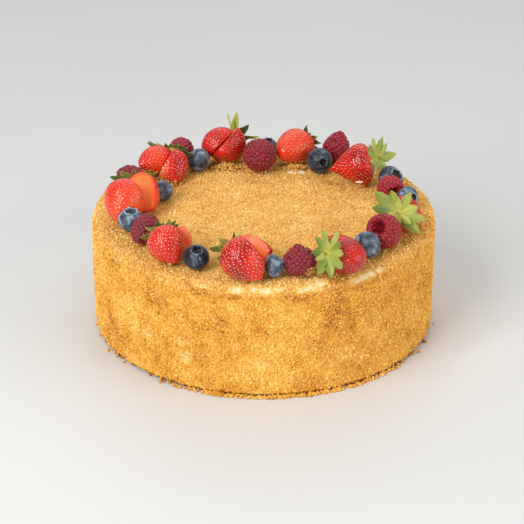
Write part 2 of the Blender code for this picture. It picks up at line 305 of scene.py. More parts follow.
# Where cream shows through: turn round the cake, height, half the width and height of the spot, and how much.
creamSpots = [
    (-110.0, 66.9, 4.4, 1.0, 0.9), (-98.6, 66.6, 4.8, 2.0, 1.0), (-93.2, 67.2, 3.0, 1.5, 0.9),
    (-89.6, 66.6, 4.4, 1.8, 1.0), (-85.2, 67.5, 3.0, 1.2, 0.9), (-78.2, 66.4, 3.6, 1.6, 0.9),
    (-75.2, 66.7, 3.8, 2.0, 1.0), (-71.6, 67.9, 4.4, 1.2, 0.95), (-59.4, 66.4, 4.0, 2.1, 1.05),
    (-56.6, 67.0, 3.6, 1.8, 1.05), (-53.4, 67.4, 4.0, 1.5, 1.0), (-49.6, 67.8, 3.6, 1.2, 0.95),
    (-131.0, 27.5, 5.0, 5.0, 0.62), (-117.0, 29.6, 7.0, 4.0, 0.62), (-115.4, 20.0, 6.0, 5.0, 0.70),
    (-90.9, 21.0, 4.0, 4.0, 0.5), (-136.5, 31.6, 6.0, 8.0, 0.42), (-63.0, 24.0, 9.0, 6.0, 0.35),
    (-100.7, 56.1, 5.0, 4.0, 0.45), (35.0, 67.5, 5.0, 2.0, 0.9), (88.0, 68.0, 6.0, 2.0, 0.9),
    (150.0, 67.5, 5.0, 2.0, 0.8), (70.0, 30.0, 9.0, 6.0, 0.4), (140.0, 25.0, 8.0, 7.0, 0.4),
    (5.0, 35.0, 8.0, 7.0, 0.35),
]
# Where the coat is painted browner (less than 0) or yellower: the same values. The first seven are darker bands just
# below the cream spots on the rim.
tintSpots = [
    (-111.5, 63.6, 5.0, 1.8, -0.24), (-99.4, 62.8, 8.0, 1.7, -0.26), (-89.5, 62.9, 7.0, 1.7, -0.2),
    (-82.6, 62.4, 7.0, 2.6, -0.2), (-75.0, 63.0, 6.0, 1.6, -0.18), (-58.0, 62.8, 8.0, 1.8, -0.22),
    (-50.5, 64.2, 6.0, 1.6, -0.16), (-118.1, 59.1, 6.0, 3.0, -0.15), (-66.6, 50.6, 7.0, 9.0, -0.15),
    (-43.8, 56.9, 11.0, 6.0, -0.14), (-49.6, 16.0, 7.0, 7.0, -0.14), (-92.2, 43.3, 6.0, 5.0, -0.12),
    (-146.6, 19.6, 7.0, 6.0, -0.1), (-126.7, 12.4, 7.0, 5.0, -0.12), (-154.0, 6.0, 8.0, 5.0, -0.1),
    (-145.4, 28.7, 6.0, 8.0, 0.1), (-98.6, 14.6, 8.0, 6.0, 0.1), (-79.8, 49.0, 8.0, 8.0, 0.1),
    (-86.6, 29.6, 12.0, 7.0, 0.1), (-63.4, 21.4, 9.0, 6.0, 0.1), (-131.0, 38.0, 8.0, 7.0, 0.08),
    (30.0, 50.0, 12.0, 8.0, -0.14), (75.0, 20.0, 12.0, 7.0, -0.12), (120.0, 48.0, 12.0, 8.0, -0.14),
    (160.0, 20.0, 12.0, 7.0, -0.12), (50.0, 28.0, 12.0, 8.0, 0.1), (100.0, 52.0, 12.0, 7.0, 0.1),
    (-125.5, 43.6, 1.2, 0.9, -0.6), (-105.9, 58.3, 1.1, 0.8, -0.5), (-80.8, 18.2, 1.1, 0.9, -0.5),
    (-90.8, 21.9, 0.9, 0.8, -0.4), (-26.8, 43.5, 1.3, 1.1, -0.4), (140.0, 40.0, 1.1, 0.9, -0.5),
]
# Burnt specks on top: x, y, across and how much browner.
topSpecks = [(-36.0, 3.3, 0.8, 0.6), (-13.9, -9.5, 0.9, 0.7), (23.1, 13.9, 1.6, 0.25), (14.9, -11.1, 1.4, 0.22),
             (-60.0, -24.0, 1.0, 0.3), (44.0, -30.0, 1.1, 0.3), (4.0, 30.0, 0.9, 0.3)]


def makeGround():
    low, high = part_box("cake_body")
    radius, height, inset = (high.x - low.x) / 2.0, high.z, coat["inset"] * mm
    top = height - inset
    deselectAll()
    bpy.ops.mesh.primitive_cylinder_add(vertices=coat["sides"], radius=radius - inset, depth=top,
                                        location=(0.0, 0.0, top / 2.0))
    ground = named("crumb_coat")
    bpy.ops.object.transform_apply(location=True)
    unselectMesh()
    for edge in ground.data.edges:
        edge.select = all(abs(ground.data.vertices[i].co.z - top) < 1e-5 for i in edge.vertices)
    editMesh()
    bpy.ops.mesh.select_mode(type="EDGE")
    bpy.ops.mesh.bevel(offset=coat["rim"] * mm, segments=coat["rimSteps"])
    editMesh(done=True)
    ground.data.remesh_voxel_size = coat["cell"] * mm
    bpy.ops.object.voxel_remesh()

    points = readPoints(ground)
    above = ground.vertex_groups.new(name="above the foot")
    above.add([int(i) for i in np.nonzero(points[:, 2] > coat["flatFoot"] * mm)[0]], 1.0, "REPLACE")
    for number, (size, depth) in enumerate(coat["waves"]):
        clouds = bpy.data.textures.new(f"coatWaves{number}", "CLOUDS")
        clouds.noise_scale, clouds.noise_depth = size * mm, 2
        wave = ground.modifiers.new(f"waves{number}", "DISPLACE")
        wave.texture, wave.strength, wave.vertex_group = clouds, depth * mm, "above the foot"
    applyModifiers(ground)

    points = readPoints(ground)
    away = np.hypot(points[:, 0], points[:, 1])
    rise, cut = (v * mm for v in coat["undercut"])
    low = np.clip(1.0 - points[:, 2] / rise, 0.0, 1.0) ** 2 * cut
    share = np.where(away > radius * coat["sideFrom"], 1.0 - low / np.maximum(away, 1e-6), 1.0)
    points[:, :2] *= share[:, None]
    reach, raised = (v * mm for v in coat["bed"])
    onTop = points[:, 2] > height - coat["topBand"] * mm
    bed = np.zeros(len(points))
    for name, node in frame["nodes"].items():
        if not name.startswith(("cake", "leaf")):
            lowest = min((v.co for v in node.data.vertices), key=lambda co: co.z)
            bed = np.maximum(bed, smoothBump(np.hypot(points[:, 0] - lowest.x, points[:, 1] - lowest.y), reach))
    points[:, 2] += np.where(onTop, bed * raised, 0.0)
    writePoints(ground, points)
    paintGround(ground, points, away, onTop, radius)
    ground.data.materials.append(groundMaterial())
    pick(ground)
    bpy.ops.object.shade_smooth()
    return ground


def paintGround(ground, points, away, onTop, radius):
    # The values that the material and the scattered crumbs read: cream, tint, cover and coarse.
    turn = np.degrees(np.arctan2(points[:, 1], points[:, 0]))

    def spotAt(spotTurn, spotHeight, wide, tall, strength):
        across = np.radians((turn - spotTurn + 180.0) % 360.0 - 180.0) * radius / (wide * mm)
        up = (points[:, 2] - spotHeight * mm) / (tall * mm)
        return strength * np.exp(-(across ** 2 + up ** 2)) * (away > radius * coat["spotsFrom"])

    cream = np.max([spotAt(*spot) for spot in creamSpots], axis=0)
    crevice = np.clip((coat["crevice"] * mm - points[:, 2]) / (0.5 * mm), 0.0, 1.0)
    # The crevice at the foot is painted dark, as shade.
    tint = sum(spotAt(*spot) for spot in tintSpots) + coat["creamTint"] * cream + coat["creviceShade"] * crevice
    for x, y, across, browner in topSpecks:
        off = np.hypot(points[:, 0] - x * mm, points[:, 1] - y * mm)
        tint -= browner * smoothBump(off, across * mm) * onTop
    writeValue(ground, "cream", cream)
    writeValue(ground, "tint", tint)
    writeValue(ground, "cover", (1.0 - crumbLook["creamThinning"] * cream ** 1.5) * (crevice < 0.5))
    # Coarser crumbs gather on the side, along the rim and at the foot, in clumps of their own.
    side = np.clip((away / radius - coat["rimFrom"]) / coat["rimWidth"], 0.0, 1.0)
    clumps = np.array([noise.fractal(Vector(point) / (coat["clumps"] * mm), 1.0, 2.0, 2) for point in points])
    least, more, patchy, most = coat["coarse"]
    writeValue(ground, "coarse", np.clip((least + more * side) * (1.0 + patchy * clumps), 0.0, most))


# Loose crumbs, one piece for each kind: how many, across, tone from and to, shape, and how much of it keeps
# to where coarse crumbs gather.
crumbKinds = [
    {"piece": "crumbs_golden", "count": 23500, "across": (0.85, 1.5), "tone": (0.40, 0.80), "coarse": 0.0},
    {"piece": "crumbs_straw", "count": 23500, "across": (0.8, 1.45), "tone": (0.62, 1.02), "coarse": 0.0},
    {"piece": "crumbs_tan", "count": 22000, "across": (0.8, 1.45), "tone": (0.28, 0.60), "coarse": 0.2},
    {"piece": "crumbs_toasted", "count": 12000, "across": (0.6, 1.2), "tone": (0.0, 0.3), "coarse": 0.8},
    {"piece": "crumbs_lumpy", "count": 8000, "across": (1.2, 2.2), "tone": (0.22, 0.85), "coarse": 0.85,
     "shape": "lump"},
]
crumbLook = {
    "creamThinning": 0.78,              # how few lie on bare cream
    "sunk": -0.25, "proud": 0.35,       # from how deep in the ground to how far out of it
    "rough": 0.28, "flat": 0.72,        # how broken and how flat their shapes are
}


def crumbShapes(kind, count, seed):
    # A few broken shapes: a chip has 8 faces and a lump 20.
    draw = random.Random(seed)
    shapes = bpy.data.collections.new(f"{kind}Shapes")
    bpy.context.scene.collection.children.link(shapes)
    for number in range(count):
        deselectAll()
        if kind == "chip":
            bpy.ops.mesh.primitive_cone_add(vertices=4, radius1=0.5, depth=0.5, end_fill_type="TRIFAN")
        else:
            bpy.ops.mesh.primitive_ico_sphere_add(subdivisions=1, radius=0.5)
        shape = named(f"{kind}{number}")
        stretch = Vector((1.0, draw.uniform(0.7, 1.0), draw.uniform(crumbLook["flat"] - 0.15, 1.0)))
        for v in shape.data.vertices:
            if kind == "chip":
                # the cone becomes two, base to base
                v.co.z += 0.25 if v.co.xy.length > 0.1 or v.co.z > 0.0 else -0.25
            push = Vector([draw.uniform(-1.0, 1.0) * crumbLook["rough"] * 0.5 for _ in range(3)])
            v.co = (v.co + push) * stretch
        for owner in list(shape.users_collection):
            owner.objects.unlink(shape)
        shapes.objects.link(shape)
    return shapes


def scatterTree(name, shapes, material, kind, area, seed):
    tree = bpy.data.node_groups.new(name, "GeometryNodeTree")
    for way in ("INPUT", "OUTPUT"):
        tree.interface.new_socket("Geometry", in_out=way, socket_type="NodeSocketGeometry")
    start = addNode(tree, "NodeGroupInput")
    cover, coarse, tint = [addNode(tree, "GeometryNodeInputNamedAttribute", {"Name": value}, data_type="FLOAT")
                           for value in ("cover", "coarse", "tint")]
    evenly = addNode(tree, "ShaderNodeMath", {0: cover, 1: kind["count"] / area}, operation="MULTIPLY")
    share = addNode(tree, "ShaderNodeMath", {0: coarse, 1: kind["coarse"], 2: 1.0 - kind["coarse"]},
                    operation="MULTIPLY_ADD")
    density = addNode(tree, "ShaderNodeMath", {0: evenly, 1: share}, operation="MULTIPLY")
    spread = addNode(tree, "GeometryNodeDistributePointsOnFaces", {"Mesh": start, "Density": density, "Seed": seed},
                     distribute_method="RANDOM")
    ranges = ((crumbLook["sunk"] * mm, crumbLook["proud"] * mm, 1), (*(v * mm for v in kind["across"]), 2),
              (*kind["tone"], 4))
    height, across, tone = [addNode(tree, "FunctionNodeRandomValue", {2: low, 3: high, "Seed": seed + more},
                                    data_type="FLOAT").outputs[1] for low, high, more in ranges]
    turn = addNode(tree, "FunctionNodeRandomValue", {0: (0.0,) * 3, 1: (math.tau,) * 3, "Seed": seed + 3},
                   data_type="FLOAT_VECTOR")
    turned = addNode(tree, "FunctionNodeEulerToRotation", {0: turn})
    away = addNode(tree, "ShaderNodeVectorMath", {0: spread.outputs["Normal"], "Scale": height}, operation="SCALE")
    lifted = addNode(tree, "GeometryNodeSetPosition", {"Geometry": spread, "Offset": away})
    some = addNode(tree, "GeometryNodeCollectionInfo", {"Collection": shapes, "Separate Children": True,
                                                        "Reset Children": True})
    placed = addNode(tree, "GeometryNodeInstanceOnPoints", {
        "Points": lifted, "Instance": some, "Pick Instance": True, "Rotation": turned, "Scale": across})
    tinted = addNode(tree, "ShaderNodeMath", {0: tone, 1: tint}, operation="ADD")
    toned = addNode(tree, "GeometryNodeStoreNamedAttribute", {"Geometry": placed, "Name": "tone", 3: tinted},
                    data_type="FLOAT", domain="INSTANCE")
    real = addNode(tree, "GeometryNodeRealizeInstances", {"Geometry": toned})
    painted = addNode(tree, "GeometryNodeSetMaterial", {"Geometry": real, "Material": material})
    addNode(tree, "NodeGroupOutput", {0: painted})
    return tree


def scatterCrumbs(ground, material):
    area = sum(face.area for face in ground.data.polygons if face.normal.z > -0.6)
    shapes = {"chip": crumbShapes("chip", 5, 3), "lump": crumbShapes("lump", 5, 4)}
    made = []
    for number, kind in enumerate(crumbKinds):
        pick(ground)
        bpy.ops.object.duplicate()
        crumbs = named(kind["piece"])
        crumbs.data.materials.clear()
        spread = crumbs.modifiers.new("spread", "NODES")
        spread.node_group = scatterTree(kind["piece"], shapes[kind.get("shape", "chip")], material, kind, area,
                                        20 + 10 * number)
        applyModifiers(crumbs)
        keepAboveFloor(crumbs)
        made.append(crumbs)
        print(kind["piece"], len(crumbs.data.polygons))
    for group in shapes.values():
        for shape in list(group.objects):
            bpy.data.objects.remove(shape)
        bpy.data.collections.remove(group)
    return made


# Coarse crumbs that have slid down to the foot. They lie as thickly as the shares say at the turns round it.
footCrumbs = {
    "count": 1500, "across": (0.8, 2.3), "tone": (0.1, 0.7),
    "out": (-0.6, 2.2), "near": 1.4,    # from how far out to how far out, and over 1 if most lie close
    "heaped": (0.75, 0.6), "rest": 0.4,         # how evenly and how unevenly they lie, and how high their middles
    "turns": (-180, -160, -127, -118, -105, -66, -50, -40, -20, 0, 20, 60, 140, 165, 180),
    "shares": (0.0, 0.03, 0.02, 0.5, 1.0, 1.0, 0.6, 0.2, 0.04, 0.0, 0.0, 0.2, 0.2, 0.0, 0.0),
}
# Crumbs that cling to the foot of a berry: piece, how many, from which side, how wide, and how high up.
clinging = [
    ("strawberry_2_right", 16, -105, 55, 3.6), ("strawberry_2_left", 8, -95, 50, 2.4),
    ("strawberry_3_left", 60, -90, 65, 4.2), ("strawberry_3_right", 30, -70, 65, 4.6),
    ("strawberry_4", 60, -95, 65, 4.2), ("strawberry_5", 8, -90, 60, 1.8), ("strawberry_1_front", 10, -80, 70, 1.8),
    ("strawberry_7", 10, -70, 70, 1.8), ("strawberry_8_front", 14, -90, 70, 1.8),
    ("strawberry_9_front", 12, -90, 70, 1.8), ("raspberry_8", 44, -22, 40, 7.0), ("raspberry_4", 8, -90, 65, 2.2),
    ("raspberry_3", 6, -90, 65, 2.0), ("raspberry_7", 6, -60, 60, 2.0), ("strawberry_6", 8, -30, 70, 2.4),
    ("raspberry_1", 6, 160, 90, 2.0), ("raspberry_5", 8, 60, 90, 2.4),
]
# Crumbs pushed up in front of a berry: x, y, reach across and back, how high, and how many.
heaps = [(-21.8, 58.4, 9.5, 3.4, 3.6, 250), (19.4, 57.8, 8.5, 3.0, 3.2, 200), (-61.6, 42.2, 3.4, 3.0, 3.4, 70),
         (-54.0, 34.4, 6.0, 2.0, 1.2, 50), (47.6, -90.6, 8.0, 2.0, 1.0, 30), (57.5, -68.6, 5.0, 3.0, 1.2, 40),
         (19.6, 51.9, 5.5, 1.8, 2.4, 34)]
clingingLook = {"across": (0.9, 2.1), "tone": (0.08, 0.75), "off": 0.2, "from": 0.3}    # off the skin, lowest
looseLook = {"rough": 0.13, "flat": 0.75}


def looseCrumb(name):
    deselectAll()
    bpy.ops.mesh.primitive_ico_sphere_add(subdivisions=1, radius=0.5)
    crumb = named(name)
    draw = random.Random(name)
    for v in crumb.data.vertices:
        v.co += Vector([draw.uniform(-looseLook["rough"], looseLook["rough"]) for _ in range(3)])
        v.co.z *= looseLook["flat"]
    return crumb


def anyWay(count, across, draw):
    # Random turns and sizes, for crumbs that lie as they fell.
    toward, level = draw.normal(0.0, 1.0, (2, count, 3))
    places = frames(np.zeros((count, 3)), toward, level)
    size = draw.uniform(*across, count) * mm
    places[:, :3, :3] *= size[:, None, None]
    return places, size


def makeFootCrumbs(material):
    draw = np.random.default_rng(11)
    low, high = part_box("cake_body")
    radius, tries = (high.x - low.x) / 2.0, footCrumbs["count"] * 2
    turn = draw.uniform(0.0, math.tau, tries)
    heaped = np.array([noise.noise(Vector((3.0 * math.cos(t), 3.0 * math.sin(t), 0.0))) for t in turn])
    thickly = np.interp((np.degrees(turn) + 180.0) % 360.0 - 180.0, footCrumbs["turns"], footCrumbs["shares"])
    evenly, unevenly = footCrumbs["heaped"]
    turn = turn[draw.uniform(0.0, 1.0, tries) < (evenly + unevenly * heaped) * thickly]
    places, size = anyWay(len(turn), footCrumbs["across"], draw)
    near, far = (v * mm for v in footCrumbs["out"])
    away = radius + near + (far - near) * draw.uniform(0.0, 1.0, len(turn)) ** footCrumbs["near"]
    places[:, 0, 3], places[:, 1, 3] = away * np.cos(turn), away * np.sin(turn)
    places[:, 2, 3] = size * footCrumbs["rest"]
    tone = draw.uniform(*footCrumbs["tone"], len(turn))
    piece = joinCopies("crumbs_at_foot", looseCrumb("foot"), places, tone=tone)
    keepAboveFloor(piece)
    piece.data.materials.append(material)
    return piece


def makeClingingCrumbs(material, berries):
    draw = np.random.default_rng(12)
    sites = []
    for name, count, side, wide, up in clinging:
        points, normals = readPoints(berries[name]), readPoints(berries[name], normals=True)
        turn = np.degrees(np.arctan2(normals[:, 1], normals[:, 0]))
        facing = np.abs((turn - side + 180.0) % 360.0 - 180.0) < wide
        height = points[:, 2] - points[:, 2].min()
        chosen = np.nonzero(facing & (height < up * mm) & (height > clingingLook["from"] * mm))[0]
        picked = draw.choice(chosen, min(count, len(chosen)), replace=False)
        sites.append(points[picked] + normals[picked] * clingingLook["off"] * mm)
    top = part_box("cake_body")[1].z
    for x, y, across, back, high, count in heaps:
        off = draw.normal(0.0, 0.5, (count, 2))
        up = high * np.exp(-(off ** 2).sum(axis=1)) * draw.uniform(0.0, 1.0, count) ** 0.6 * mm
        sites.append(np.stack([(x + off[:, 0] * across) * mm, (y + off[:, 1] * back) * mm, top + up], axis=1))
    sites = np.concatenate(sites)
    places, _ = anyWay(len(sites), clingingLook["across"], draw)
    places[:, :3, 3] = sites
    tone = draw.uniform(*clingingLook["tone"], len(sites))
    piece = joinCopies("crumbs_on_berries", looseCrumb("clinging"), places, tone=tone)
    piece.data.materials.append(material)
    return piece


# Soured cream: thick and white with a warm tinge, soft edges and a satin sheen.
# Each dab: x, y, how far up, and its length, width and height. The last one sticks to a berry.
creamDabs = [(17.6, 52.6, 0.1, 5.6, 3.0, 2.0), (21.4, 52.2, 0.2, 7.4, 3.4, 2.4), (57.7, 24.6, 6.4, 4.6, 1.5, 1.2)]
dabLook = {"uneven": 0.35, "lumps": 3.5}    # how deep and how close together its lumps are


def makeCreamDabs():
    material, _ = newMaterial("souredCream", Roughness=0.45, IOR=1.4, Subsurface_Weight=0.4,
                              Subsurface_Radius=(1.0, 0.8, 0.6), Subsurface_Scale=1.0 * mm,
                              Base_Color=linear("#f8e8c8"))
    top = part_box("cake_body")[1].z
    dabs = []
    for number, (x, y, up, long, wide, high) in enumerate(creamDabs):
        deselectAll()
        bpy.ops.mesh.primitive_uv_sphere_add(segments=40, ring_count=24, radius=0.5)
        dab = named(f"dab{number}")
        points = readPoints(dab)
        apart = Vector((number * 7.0, 0.0, 0.0))    # so that no two dabs have the same lumps
        swell = np.array([1.0 + dabLook["uneven"] * noise.noise(Vector(point) * dabLook["lumps"] + apart)
                          for point in points])
        points = points * swell[:, None] * np.array([long, wide, high]) * mm
        writePoints(dab, points + np.array([x * mm, y * mm, top + up * mm]))
        dabs.append(dab)
    joinPieces(*dabs)
    piece = named("cream_dabs")
    piece.data.materials.append(material)
    bpy.ops.object.shade_smooth()
    return piece


def joinPieces(*pieces):
    pick(*pieces)
    bpy.ops.object.join()


def joinCopies(name, shape, places, **values):
    # One piece out of many copies of a small shape, each at its own 4 x 4 place.
    corners = np.hstack([readPoints(shape), np.ones((len(shape.data.vertices), 1))])
    faces = [tuple(face.vertices) for face in shape.data.polygons]
    bpy.data.objects.remove(shape)
    points = np.einsum("nij,kj->nki", np.array(places)[:, :3, :], corners).reshape(-1, 3)
    step = len(corners)
    mesh = bpy.data.meshes.new(name)
    mesh.from_pydata(points.tolist(), [], [tuple(step * n + i for i in face) for n in range(len(places))
                                           for face in faces])
    piece = bpy.data.objects.new(name, mesh)
    bpy.context.scene.collection.objects.link(piece)
    for value, each in values.items():
        writeValue(piece, value, np.repeat(each, step))
    mesh.shade_smooth()
    return piece


def frames(points, normals, forward):
    # 4 x 4 places whose Z is the normal and whose X lies along forward.
    z = normals / np.linalg.norm(normals, axis=1, keepdims=True)
    x = forward - z * np.sum(forward * z, axis=1, keepdims=True)
    x /= np.linalg.norm(x, axis=1, keepdims=True)
    places = np.zeros((len(points), 4, 4))
    places[:, :3, 0], places[:, :3, 1], places[:, :3, 2], places[:, :3, 3] = x, np.cross(z, x), z, points
    places[:, 3, 3] = 1.0
    return places


def spiralSites(profile, gap, start, end):
    # Spreads sites evenly over a turned form: shares of the way along its profile, and turns round it.
    share = np.linspace(0.0, 1.0, 600)
    radius, height = profile(share)
    step = np.hypot(np.diff(radius), np.diff(height))
    area = np.concatenate([[0.0], np.cumsum(math.tau * (radius[1:] + radius[:-1]) / 2.0 * step)])
    count = int(area[-1] / (0.866 * gap * gap))
    site = np.interp((np.arange(count) + 0.5) / count * area[-1], area, share)
    turn = (np.arange(count) * goldenTurn) % math.tau
    keep = (site > start) & (site < end)
    return site[keep], turn[keep]


# Strawberries: where each stands, its length, width and height, where its point looks, where a cut face
# looks and how far from the middle it runs, how ripe its skin is, and how large its seeds are. Some also have
# up (held up by their neighbours), heart (how much of the pale heart the cut shows), pale (towards where the
# skin is paler, and how much), fullest (the share of the length at which the berry is widest) and blunt
# (under 0.5 for round ends, over 1 for drawn out ones).
strawberries = [
    {"piece": "strawberry_1_front", "at": (-81.4, -17.6), "size": (29.2, 24.9, 25.2), "tip": (-101, -28),
     "face": (50, 5), "kept": 6.4, "ripe": 0.10, "seeds": 0.72},
    {"piece": "strawberry_1_back", "at": (-71.7, -3.4), "size": (29.6, 21.8, 22.2), "tip": (-58, -18),
     "face": (-136, 36), "kept": 0.8, "heart": 0.0, "ripe": 0.12, "seeds": 0.72},
    {"piece": "strawberry_2_left", "at": (-66.8, 47.4), "size": (27.2, 20.6, 18.2), "tip": (-132, 7),
     "face": (-14, -26), "kept": 5.9, "ripe": 0.2, "seeds": 0.85},
    {"piece": "strawberry_2_right", "at": (-56.2, 40.8), "size": (24.4, 21.7, 17.8), "tip": (-68, -32),
     "face": (166, 26), "kept": 4.2, "ripe": 0.5, "seeds": 0.85, "pale": (-150, 8, 1.1)},
    {"piece": "strawberry_3_left", "at": (-26.4, 64.6), "size": (22.6, 24.1, 23.8), "tip": (-58, -11), "up": 2.4,
     "face": (-23, -38), "kept": -1.1, "ripe": 0.46, "seeds": 0.7},
    {"piece": "strawberry_3_right", "at": (-23.9, 64.4), "size": (24.2, 24.9, 25.5), "tip": (-101, -5),
     "face": (166, 42), "kept": 2.3, "heart": 0.3, "ripe": 0.46, "seeds": 0.7, "pale": (170, 45, 0.45)},
    {"piece": "strawberry_4", "at": (17.5, 65.2), "size": (26.5, 23.3, 20.6), "tip": (-123, 3), "blunt": 0.46,
     "fullest": 0.31, "ripe": 0.10, "seeds": 0.75},
    {"piece": "strawberry_5", "at": (53.0, 34.8), "size": (28.1, 24.4, 26.0), "tip": (-176, -9), "blunt": 1.05,
     "fullest": 0.27, "ripe": 0.5, "seeds": 0.85},
    {"piece": "strawberry_6", "at": (81.4, -28.6), "size": (23, 20.5, 21.0), "tip": (66, -26), "ripe": 0.45,
     "seeds": 0.9},
    {"piece": "strawberry_7", "at": (45.0, -81.3), "size": (26.5, 30.3, 20.7), "tip": (39, -14), "ripe": 0.5,
     "seeds": 0.62},
    {"piece": "strawberry_8_front", "at": (-10.6, -92.5), "size": (28.1, 23.7, 25.3), "tip": (-40, -30),
     "face": (37, 28), "kept": 6.9, "ripe": 0.5, "seeds": 0.95, "pale": (-20, 0, 0.2)},
    {"piece": "strawberry_8_back", "at": (-7.4, -78.2), "size": (25, 20.7, 18.4), "tip": (-4, 5),
     "face": (-108, 34), "kept": 1.2, "heart": 0.2, "ripe": 0.5, "seeds": 0.9},
    {"piece": "strawberry_9_front", "at": (-53.8, -71.4), "size": (23.6, 21.0, 22.5), "tip": (-53, -33),
     "face": (40, -8), "kept": 8.1, "ripe": 0.35, "seeds": 0.95},
    {"piece": "strawberry_9_back", "at": (-47.2, -64.4), "size": (16, 17.3, 17.5), "tip": (-34, -13),
     "face": (-102, 30), "kept": 0.0, "heart": 0.4, "ripe": 0.5, "seeds": 0.9},
]
strawberryForm = {
    "fullest": 0.40, "blunt": 0.68, "lumps": 0.014, "sides": 128, "rows": 88,
    "shoulder": (0.16, 0.75),                       # the share of the length that is paler by the stalk, how much
    "seedGap": 2.35, "seedSize": (1.02, 0.66, 0.40), "seedSunk": 0.12,
    "seedsFrom": 0.05, "seedsTo": 0.965, "seedNudge": (0.006, 0.05), "seedTaper": 0.45, "seedSlim": 0.8,
    "dimple": (0.42, 0.70), "dimpleRim": 0.25,      # depth and reach, and the share that stands proud round it
    "cutRings": [0.985, 0.94, 0.86, 0.74, 0.58, 0.42, 0.26, 0.12],
    "cutBare": 0.5, "cutFade": 6.0,                 # no seeds this close to a cut, and how far in its colours run
    "slant": 0.7,                                   # of the fibres from the middle line to the point
    "heart": 0.34, "core": 0.6, "heartSize": (2.0, 5.0), "heartUp": 2.0,    # how pale, deep, wide and long, and where
}


# Ripe strawberry skin: thin, wet and slightly see-through, orange-red on the pale side to deep crimson,
# and paler where the stalk was. The dimple round each seed is painted darker, as shade.
def strawberrySkin():
    material, tree = newMaterial("strawberrySkin", Roughness=0.4, IOR=1.36, Subsurface_Weight=0.2,
                                 Subsurface_Radius=(1.0, 0.25, 0.12), Subsurface_Scale=1.6 * mm,
                                 Coat_Weight=0.7, Coat_Roughness=0.06, Specular_IOR_Level=0.2)
    place = addNode(tree, "ShaderNodeTexCoord").outputs["Object"]
    ripe, shoulder, pit = [addNode(tree, "ShaderNodeAttribute", attribute_name=name).outputs["Fac"]
                           for name in ("ripe", "shoulder", "pit")]
    blotch = addNode(tree, "ShaderNodeTexNoise", {"Vector": place, "Scale": grain(9.0), "Detail": 3.0})
    ripeness = addNode(tree, "ShaderNodeMath", {0: blotch, 1: 0.8, 2: ripe}, operation="MULTIPLY_ADD")
    shade = addNode(tree, "ShaderNodeValToRGB", {"Fac": ripeness}, stops=[
        (0.1, "#f3965a"), (0.35, "#ee5529"), (0.58, "#e2321b"), (0.82, "#cd1b14"), (1.0, "#a00f12")])
    pale = addNode(tree, "ShaderNodeMixRGB", {"Fac": shoulder, "Color1": shade, "Color2": "#f08c58"})
    # Painted shade: the seed dimples are darkened.
    depth = addNode(tree, "ShaderNodeMath", {0: pit, 1: 0.35}, operation="MULTIPLY")
    dimpleShade = addNode(tree, "ShaderNodeMixRGB", {"Fac": depth, "Color1": pale, "Color2": "#8e0a0c"})
    fine = addNode(tree, "ShaderNodeTexNoise", {"Vector": place, "Scale": grain(0.8), "Detail": 2.0})
    bump = addNode(tree, "ShaderNodeBump", {"Strength": 0.35, "Distance": 0.12 * mm, "Height": fine})
    return setFinish(material, Base_Color=dimpleShade, Normal=bump)


# Cut strawberry flesh: moist, coral at the rim and creamier towards the core, with pale threads that run
# from the core out to the seeds.
def strawberryFlesh():
    material, tree = newMaterial("cutStrawberryFlesh", Roughness=0.4, IOR=1.38, Subsurface_Weight=0.3,
                                 Subsurface_Radius=(1.0, 0.5, 0.35), Subsurface_Scale=1.5 * mm,
                                 Coat_Weight=0.1, Coat_Roughness=0.2)
    inward, fibre, heart = [addNode(tree, "ShaderNodeAttribute", attribute_name=name).outputs["Fac"]
                            for name in ("inward", "fibre", "heart")]
    shade = addNode(tree, "ShaderNodeValToRGB", {"Fac": inward}, stops=[
        (0.0, "#d22c1c"), (0.06, "#f2562e"), (0.25, "#fb6f36"), (0.6, "#fb7c3c"), (1.0, "#fc8f50")])
    ways = addNode(tree, "ShaderNodeCombineXYZ", {0: fibre, 1: inward})
    stretched = addNode(tree, "ShaderNodeVectorMath", {0: ways, 1: (0.75, 1.2, 0.0)}, operation="MULTIPLY")
    threads = addNode(tree, "ShaderNodeTexNoise", {"Vector": stretched, "Scale": 1.0, "Detail": 2.0})
    shown = addNode(tree, "ShaderNodeMapRange", {"Value": threads, "From Min": 0.5, "From Max": 0.62, "To Max": 0.4})
    threaded = addNode(tree, "ShaderNodeMixRGB", {"Fac": shown, "Color1": shade, "Color2": "#fda872"})
    mix = addNode(tree, "ShaderNodeMixRGB", {"Fac": heart, "Color1": threaded, "Color2": "#ffd9a6"})
    bump = addNode(tree, "ShaderNodeBump", {"Strength": 0.4, "Distance": 0.2 * mm, "Height": threads})
    return setFinish(material, Base_Color=mix, Normal=bump)


# Strawberry seeds: dry little husks, straw yellow with a browner side.
def seedMaterial():
    material, tree = newMaterial("strawberrySeed", Roughness=0.4, IOR=1.45, Subsurface_Weight=0.1,
                                 Subsurface_Scale=0.4 * mm)
    tone = addNode(tree, "ShaderNodeAttribute", attribute_name="tone").outputs["Fac"]
    shade = addNode(tree, "ShaderNodeValToRGB", {"Fac": tone}, stops=[
        (0.0, "#d49a5a"), (0.5, "#efc68e"), (1.0, "#fae4c2")])
    return setFinish(material, Base_Color=shade)


def strawberryRing(fromStalk, berry):
    # How full the berry is at each part of the way from its stalk, from 0 to 1.
    skew = math.log(0.5) / math.log(berry.get("fullest", strawberryForm["fullest"]))
    return np.clip(np.sin(math.pi * fromStalk ** skew), 0.0, 1.0) ** berry.get("blunt", strawberryForm["blunt"])


def strawberrySurface(fromStalk, turn, berry, waver):
    length, width, height = (v * mm for v in berry["size"])
    ring = strawberryRing(fromStalk, berry)
    ring = ring * (1.0 + strawberryForm["lumps"] * (np.sin(3.0 * turn + waver) * np.sin(7.0 * fromStalk + waver)
                                                    + 0.7 * np.sin(2.0 * turn + 2.3 * waver)))
    return np.stack([ring * np.cos(turn) * width / 2.0, ring * np.sin(turn) * height / 2.0,
                     (fromStalk - 0.5) * length], axis=-1)


